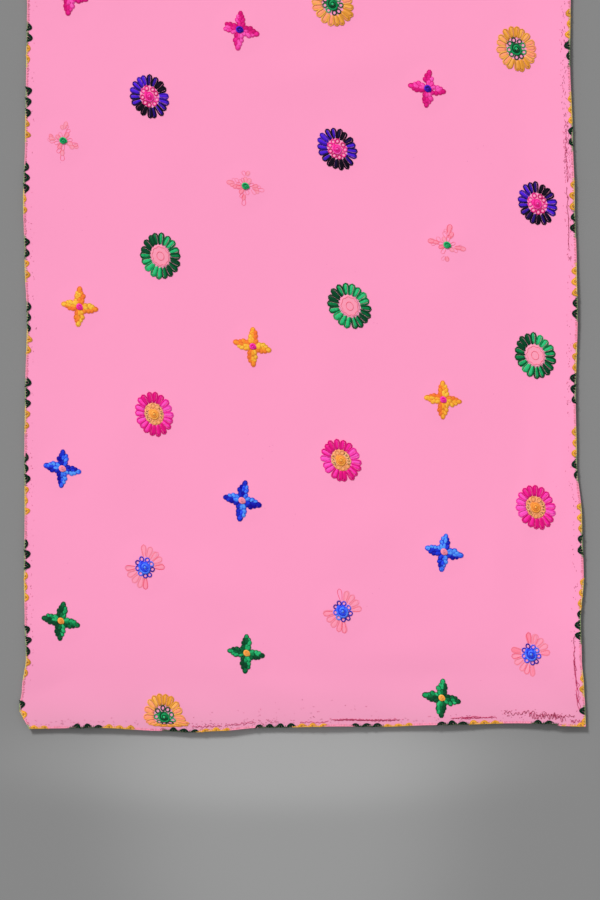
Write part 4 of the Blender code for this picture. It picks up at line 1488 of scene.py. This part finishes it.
class StoleWorkCrosses(Operator):
    """Work the cross flowers: four lobed leaf arms round a button, by thread colour"""

    bl_idname = "stole.work_crosses"
    bl_label = "Cross Flowers"

    def execute(self, context):
        sizes = context.scene.stole_cross
        units = made_units(lobe=lobe_stitch(), outline=outline_stitch(), button=knob_stitch())
        arms = ((sizes.tilt, sizes.arm_side), (math.pi / 2 + sizes.lean, sizes.arm_up),
                (math.pi + sizes.tilt, sizes.arm_side), (3 * math.pi / 2 + sizes.lean, sizes.arm_up))
        for index, kind in enumerate(CROSS_KINDS):
            centres = flowers_of(CROSSES, CROSS_KINDS, index)
            lobes = []
            for column, row, x, y in centres:
                draw = random.Random(700 + 100 * column + row)
                swing = draw.uniform(-0.05, 0.05)
                for angle, reach in arms:
                    angle += swing + draw.uniform(-0.05, 0.05)
                    lobes += cross_arm(draw, kind, (x, y), angle, reach * draw.uniform(0.95, 1.04))
            made = [placed(units["lobe"], kind.relief, kind.arms, lobes[::kind.filled])]
            if kind.outlined:
                drawn = [lobe._replace(long=lobe.long * LOBE_SHARE, wide=lobe.wide * OUTLINE_WIDTH)
                         for lobe in lobes]
                made.append(placed(units["outline"], OUTLINE_RELIEF, kind.outlined, drawn))
            laid(f"crosses_{kind.arms}", crisp(made, kind.relief), "thread_flowers")
            draw = random.Random(900 + index)
            grown = sizes.button * kind.round / KNOB_RADIUS
            turns = [sizes.tilt - draw.uniform(0.3, 0.8) for _ in centres]
            buttons = [Placed((x, y, 0.0006), turn, grown * 1.10, grown * 0.92, 1.0,
                              draw.uniform(0.62, 0.80) + BUTTON_GLOW.get(kind.button, 0))
                       for turn, (_, _, x, y) in zip(turns, centres)]
            made = [placed(units["button"], 0.8, kind.button, buttons)]
            laid(f"cross_buttons_{kind.button}", made, "thread_flowers")
        remove_units(units)
        return {"FINISHED"}


def edge_dye(row, at, settings):
    """The dye of the edging's thread at places along one side, and how full its teeth are."""
    ahead = row.heading * at
    starts = sorted(row.heading * start for start in row.starts)
    while starts[0] > ahead.min():
        starts.insert(0, starts[0] - DYE_REPEAT)
    while starts[-1] < ahead.max():
        starts.append(starts[-1] + DYE_REPEAT)
    starts = np.array(starts)
    i = np.clip(np.searchsorted(starts, ahead, side="right") - 1, 0, len(starts) - 2)
    part = (ahead - starts[i]) / (starts[i + 1] - starts[i])
    dyes = {name: (*getattr(settings, name), full) for name, full in DYE_FULLNESS.items()}
    colours = np.array([dyes[name] for name in row.dyes])
    colours = colours[np.searchsorted(DYE_SHARES, np.clip(part, 0, 0.999))]
    for patch in EDGE_PATCHES:
        if patch.side == row.side:
            colours[(at > patch.start) & (at < patch.end)] = dyes[patch.dye]
    return colours.astype(np.float32)


class StoleWorkEdging(Operator):
    """Work the edging: teeth, a cord and overcast stitches along each of the four edges"""

    bl_idname = "stole.work_edging"
    bl_label = "Edging"

    def execute(self, context):
        sizes = context.scene.stole_edging
        tree = edging_tree()
        units = made_units(tooth=tooth_stitch(), overcast=overcast_stitch())
        depths = {"edging_left": sizes.depth_left, "edging_hem": sizes.depth_hem}
        for number, row in enumerate(EDGE_DYES):
            places, at = edge_path(row.side)
            mesh = bpy.data.meshes.new("edge_path")
            mesh.from_pydata([(x, y, 0.0) for x, y in places], [(i, i + 1) for i in range(len(places) - 1)],
                             [])
            colours = edge_dye(row, at, sizes)
            carry(mesh, "full", colours[:, 3])
            colours[:, 3] = 1
            carry(mesh, "dye", colours, "FLOAT_COLOR", "color")
            mesh = worked(
                added("edge_path", mesh), tree, Tooth=units["tooth"], Pitch=sizes.pitch,
                Depth=depths.get(row.side, sizes.depth) / TOOTH_LENGTH, Corner=sizes.corner,
                Overcast=units["overcast"], Overcast_Pitch=sizes.overcast, Cord=sizes.cord,
                Wear=RIM_PALENESS[row.side], Seed=40 + number, Material=edging_material(sizes.pale))
            laid(f"threads_{row.side}", [mesh], "edging", row.side)
        remove_units(units)
        return {"FINISHED"}


def stray_paths(draw):
    """The loose threads' paths, each stroke swinging to the other side, with a tone at each point."""
    points, links, tones = [], [], []
    for stray in STRAYS:
        place = by_edge(stray.side)
        drift = 0.0
        tone = draw.random()
        for stroke in range(stray.strokes + 1):
            along = stray.start + (stray.end - stray.start) * stroke / stray.strokes
            along += draw.uniform(-0.5, 0.5) * stray.step
            drift = 0.6 * drift + draw.uniform(-stray.wander, stray.wander)
            swing = stray.tall * draw.uniform(0.25, 0.6) * (1 if stroke % 2 else -1)
            x, y = place(along, max(LEAST_STROKE_INSET, stray.inset + drift + swing))
            if stroke:
                links.append((len(points) - 1, len(points)))
            points.append((x, y, 0.0002 + 0.0003 * draw.random()))
            tones.append(tone + draw.uniform(-0.2, 0.2))
    mesh = bpy.data.meshes.new("loose_paths")
    mesh.from_pydata(points, links, [])
    carry(mesh, "tone", tones)
    return added("loose_paths", mesh)


class StoleStrayStitches(Operator):
    """Lay the loose crimson threads and tiny loose ends that run close to the edges"""

    bl_idname = "stole.stray_stitches"
    bl_label = "Stray Stitches"

    def execute(self, context):
        draw = random.Random(STRAY_SEED)
        threads = worked(stray_paths(draw), loose_thread_tree(), Radius=LOOSE_RADIUS, Step=LOOSE_STEP,
                         Material=thread_material("crimson"))
        units = made_units(loose_end=loose_end_stitch())
        rows = []
        for ends in LOOSE_ENDS:
            place = by_edge(ends.side)
            for _ in range(ends.count):
                inset = max(LEAST_INSET, draw.gauss(ends.inset, ends.spread))
                at = (*place(draw.uniform(ends.start, ends.end), inset), 0.0)
                along = 0.0 if INWARD[ends.side][0] == 0 else math.pi / 2
                rows.append(Placed(at, along + draw.gauss(0.0, 0.5 / ends.long),
                                   ends.long * draw.uniform(0.6, 2.6), draw.uniform(0.8, 1.5),
                                   draw.uniform(0.6, 1.2), draw.random()))
        laid("stray_stitches", [threads, placed(units["loose_end"], 1.0, "crimson", rows)], "edging")
        remove_units(units)
        return {"FINISHED"}


# ---------------------------------------------------------------- stage


FLOOR_SIZE = 14
# The pools of light on the floor: how far right of the middle and below the hem each one is, how far
# it reaches, and how strong it is
POOLS = table(
    "right below across along strength",
    (-0.045, 0.035, 0.320, 0.066, 0.47), (-0.018, 0.090, 0.224, 0.320, 0.44),
)


def floor_material(settings):
    """Plain grey paper with a soft pool of light under the hem and a fainter band below it."""
    material, nodes, sockets = new_material("floor_paper", 0.9, 0.2, 0.0, 0.5)

    def glow(pool):
        """A soft flat-topped spot: full about its middle and nothing far away."""
        offset = place_on_piece(nodes) - (pool.right, CAD_BOX[0].y - pool.below, 0.0)
        away = nodes.math("LENGTH", offset / (pool.across, pool.along, 1.0))
        return math.e ** (away ** 4.0 * -1.0) * pool.strength

    light = glow(POOLS[0]) + glow(POOLS[1])
    nodes.put(sockets["Base Color"], nodes.mixed(light, (*settings.floor, 1), (*settings.pool, 1)))
    return material


class StoleSetStage(Operator):
    """Set the stage: a plain floor, soft studio light and a camera that looks straight down"""

    bl_idname = "stole.set_stage"
    bl_label = "Stage"

    def execute(self, context):
        scene = context.scene
        settings = scene.stole_stage
        bpy.ops.mesh.primitive_plane_add(size=FLOOR_SIZE)
        floor = context.active_object
        floor.name = "floor"
        floor.data.materials.append(floor_material(settings))
        floor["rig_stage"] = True
        sun = bpy.data.lights.new("studio_sun", "SUN")
        sun.energy = settings.sun
        sun.angle = settings.softness
        light = added("studio_sun", sun)
        light.rotation_euler = (0, math.pi / 2 - settings.elevation, settings.heading + math.pi)
        world = bpy.data.worlds.new("studio_sky")
        world.use_nodes = True
        world.node_tree.nodes["Background"].inputs["Color"].default_value = (1, 1, 1, 1)
        world.node_tree.nodes["Background"].inputs["Strength"].default_value = settings.sky
        scene.world = world
        lens = bpy.data.cameras.new("camera")
        lens.lens = lens.sensor_width * settings.height / settings.view_long
        lens.clip_end = 200
        camera = added("camera", lens)
        camera.location = (settings.view_right - MIDDLE_X, settings.view_up - LENGTH / 2 - MIDDLE_Y,
                           settings.height)
        scene.camera = camera
        scene.view_settings.view_transform = "Standard"
        return {"FINISHED"}


class StolePanel(Panel):
    """The stole's pieces and their sizes"""

    bl_idname = "VIEW3D_PT_stole"
    bl_label = "Dupatta Stole"
    bl_space_type = "VIEW_3D"
    bl_region_type = "UI"
    bl_category = "Stole"

    def draw(self, context):
        for name, group in SETTINGS.items():
            box = self.layout.box()
            for key in group.__annotations__:
                box.prop(getattr(context.scene, name), key)
        for operator in OPERATORS:
            self.layout.operator(operator.bl_idname)


SETTINGS = {
    "stole_cloth": StoleCloth,
    "stole_daisy": StoleDaisy,
    "stole_cross": StoleCross,
    "stole_edging": StoleEdging,
    "stole_dyes": StoleDyes,
    "stole_stage": StoleStage,
}
OPERATORS = (StoleSetStage, StoleWorkEdging, StoleWorkDaisies, StoleWorkCrosses, StoleStrayStitches,
             StoleWeaveCloth)


def register():
    for group in SETTINGS.values():
        bpy.utils.register_class(group)
    for name, group in SETTINGS.items():
        setattr(bpy.types.Scene, name, PointerProperty(type=group))
    for operator in (*OPERATORS, StolePanel):
        bpy.utils.register_class(operator)


def unregister():
    for operator in (StolePanel, *reversed(OPERATORS)):
        bpy.utils.unregister_class(operator)
    for name in SETTINGS:
        delattr(bpy.types.Scene, name)
    for group in reversed(SETTINGS.values()):
        bpy.utils.unregister_class(group)


def main():
    register()
    bpy.ops.stole.set_stage()
    bpy.ops.stole.work_edging()
    bpy.ops.stole.work_daisies()
    bpy.ops.stole.work_crosses()
    bpy.ops.stole.stray_stitches()
    bpy.ops.stole.weave_cloth()


if __name__ == "__main__":
    main()
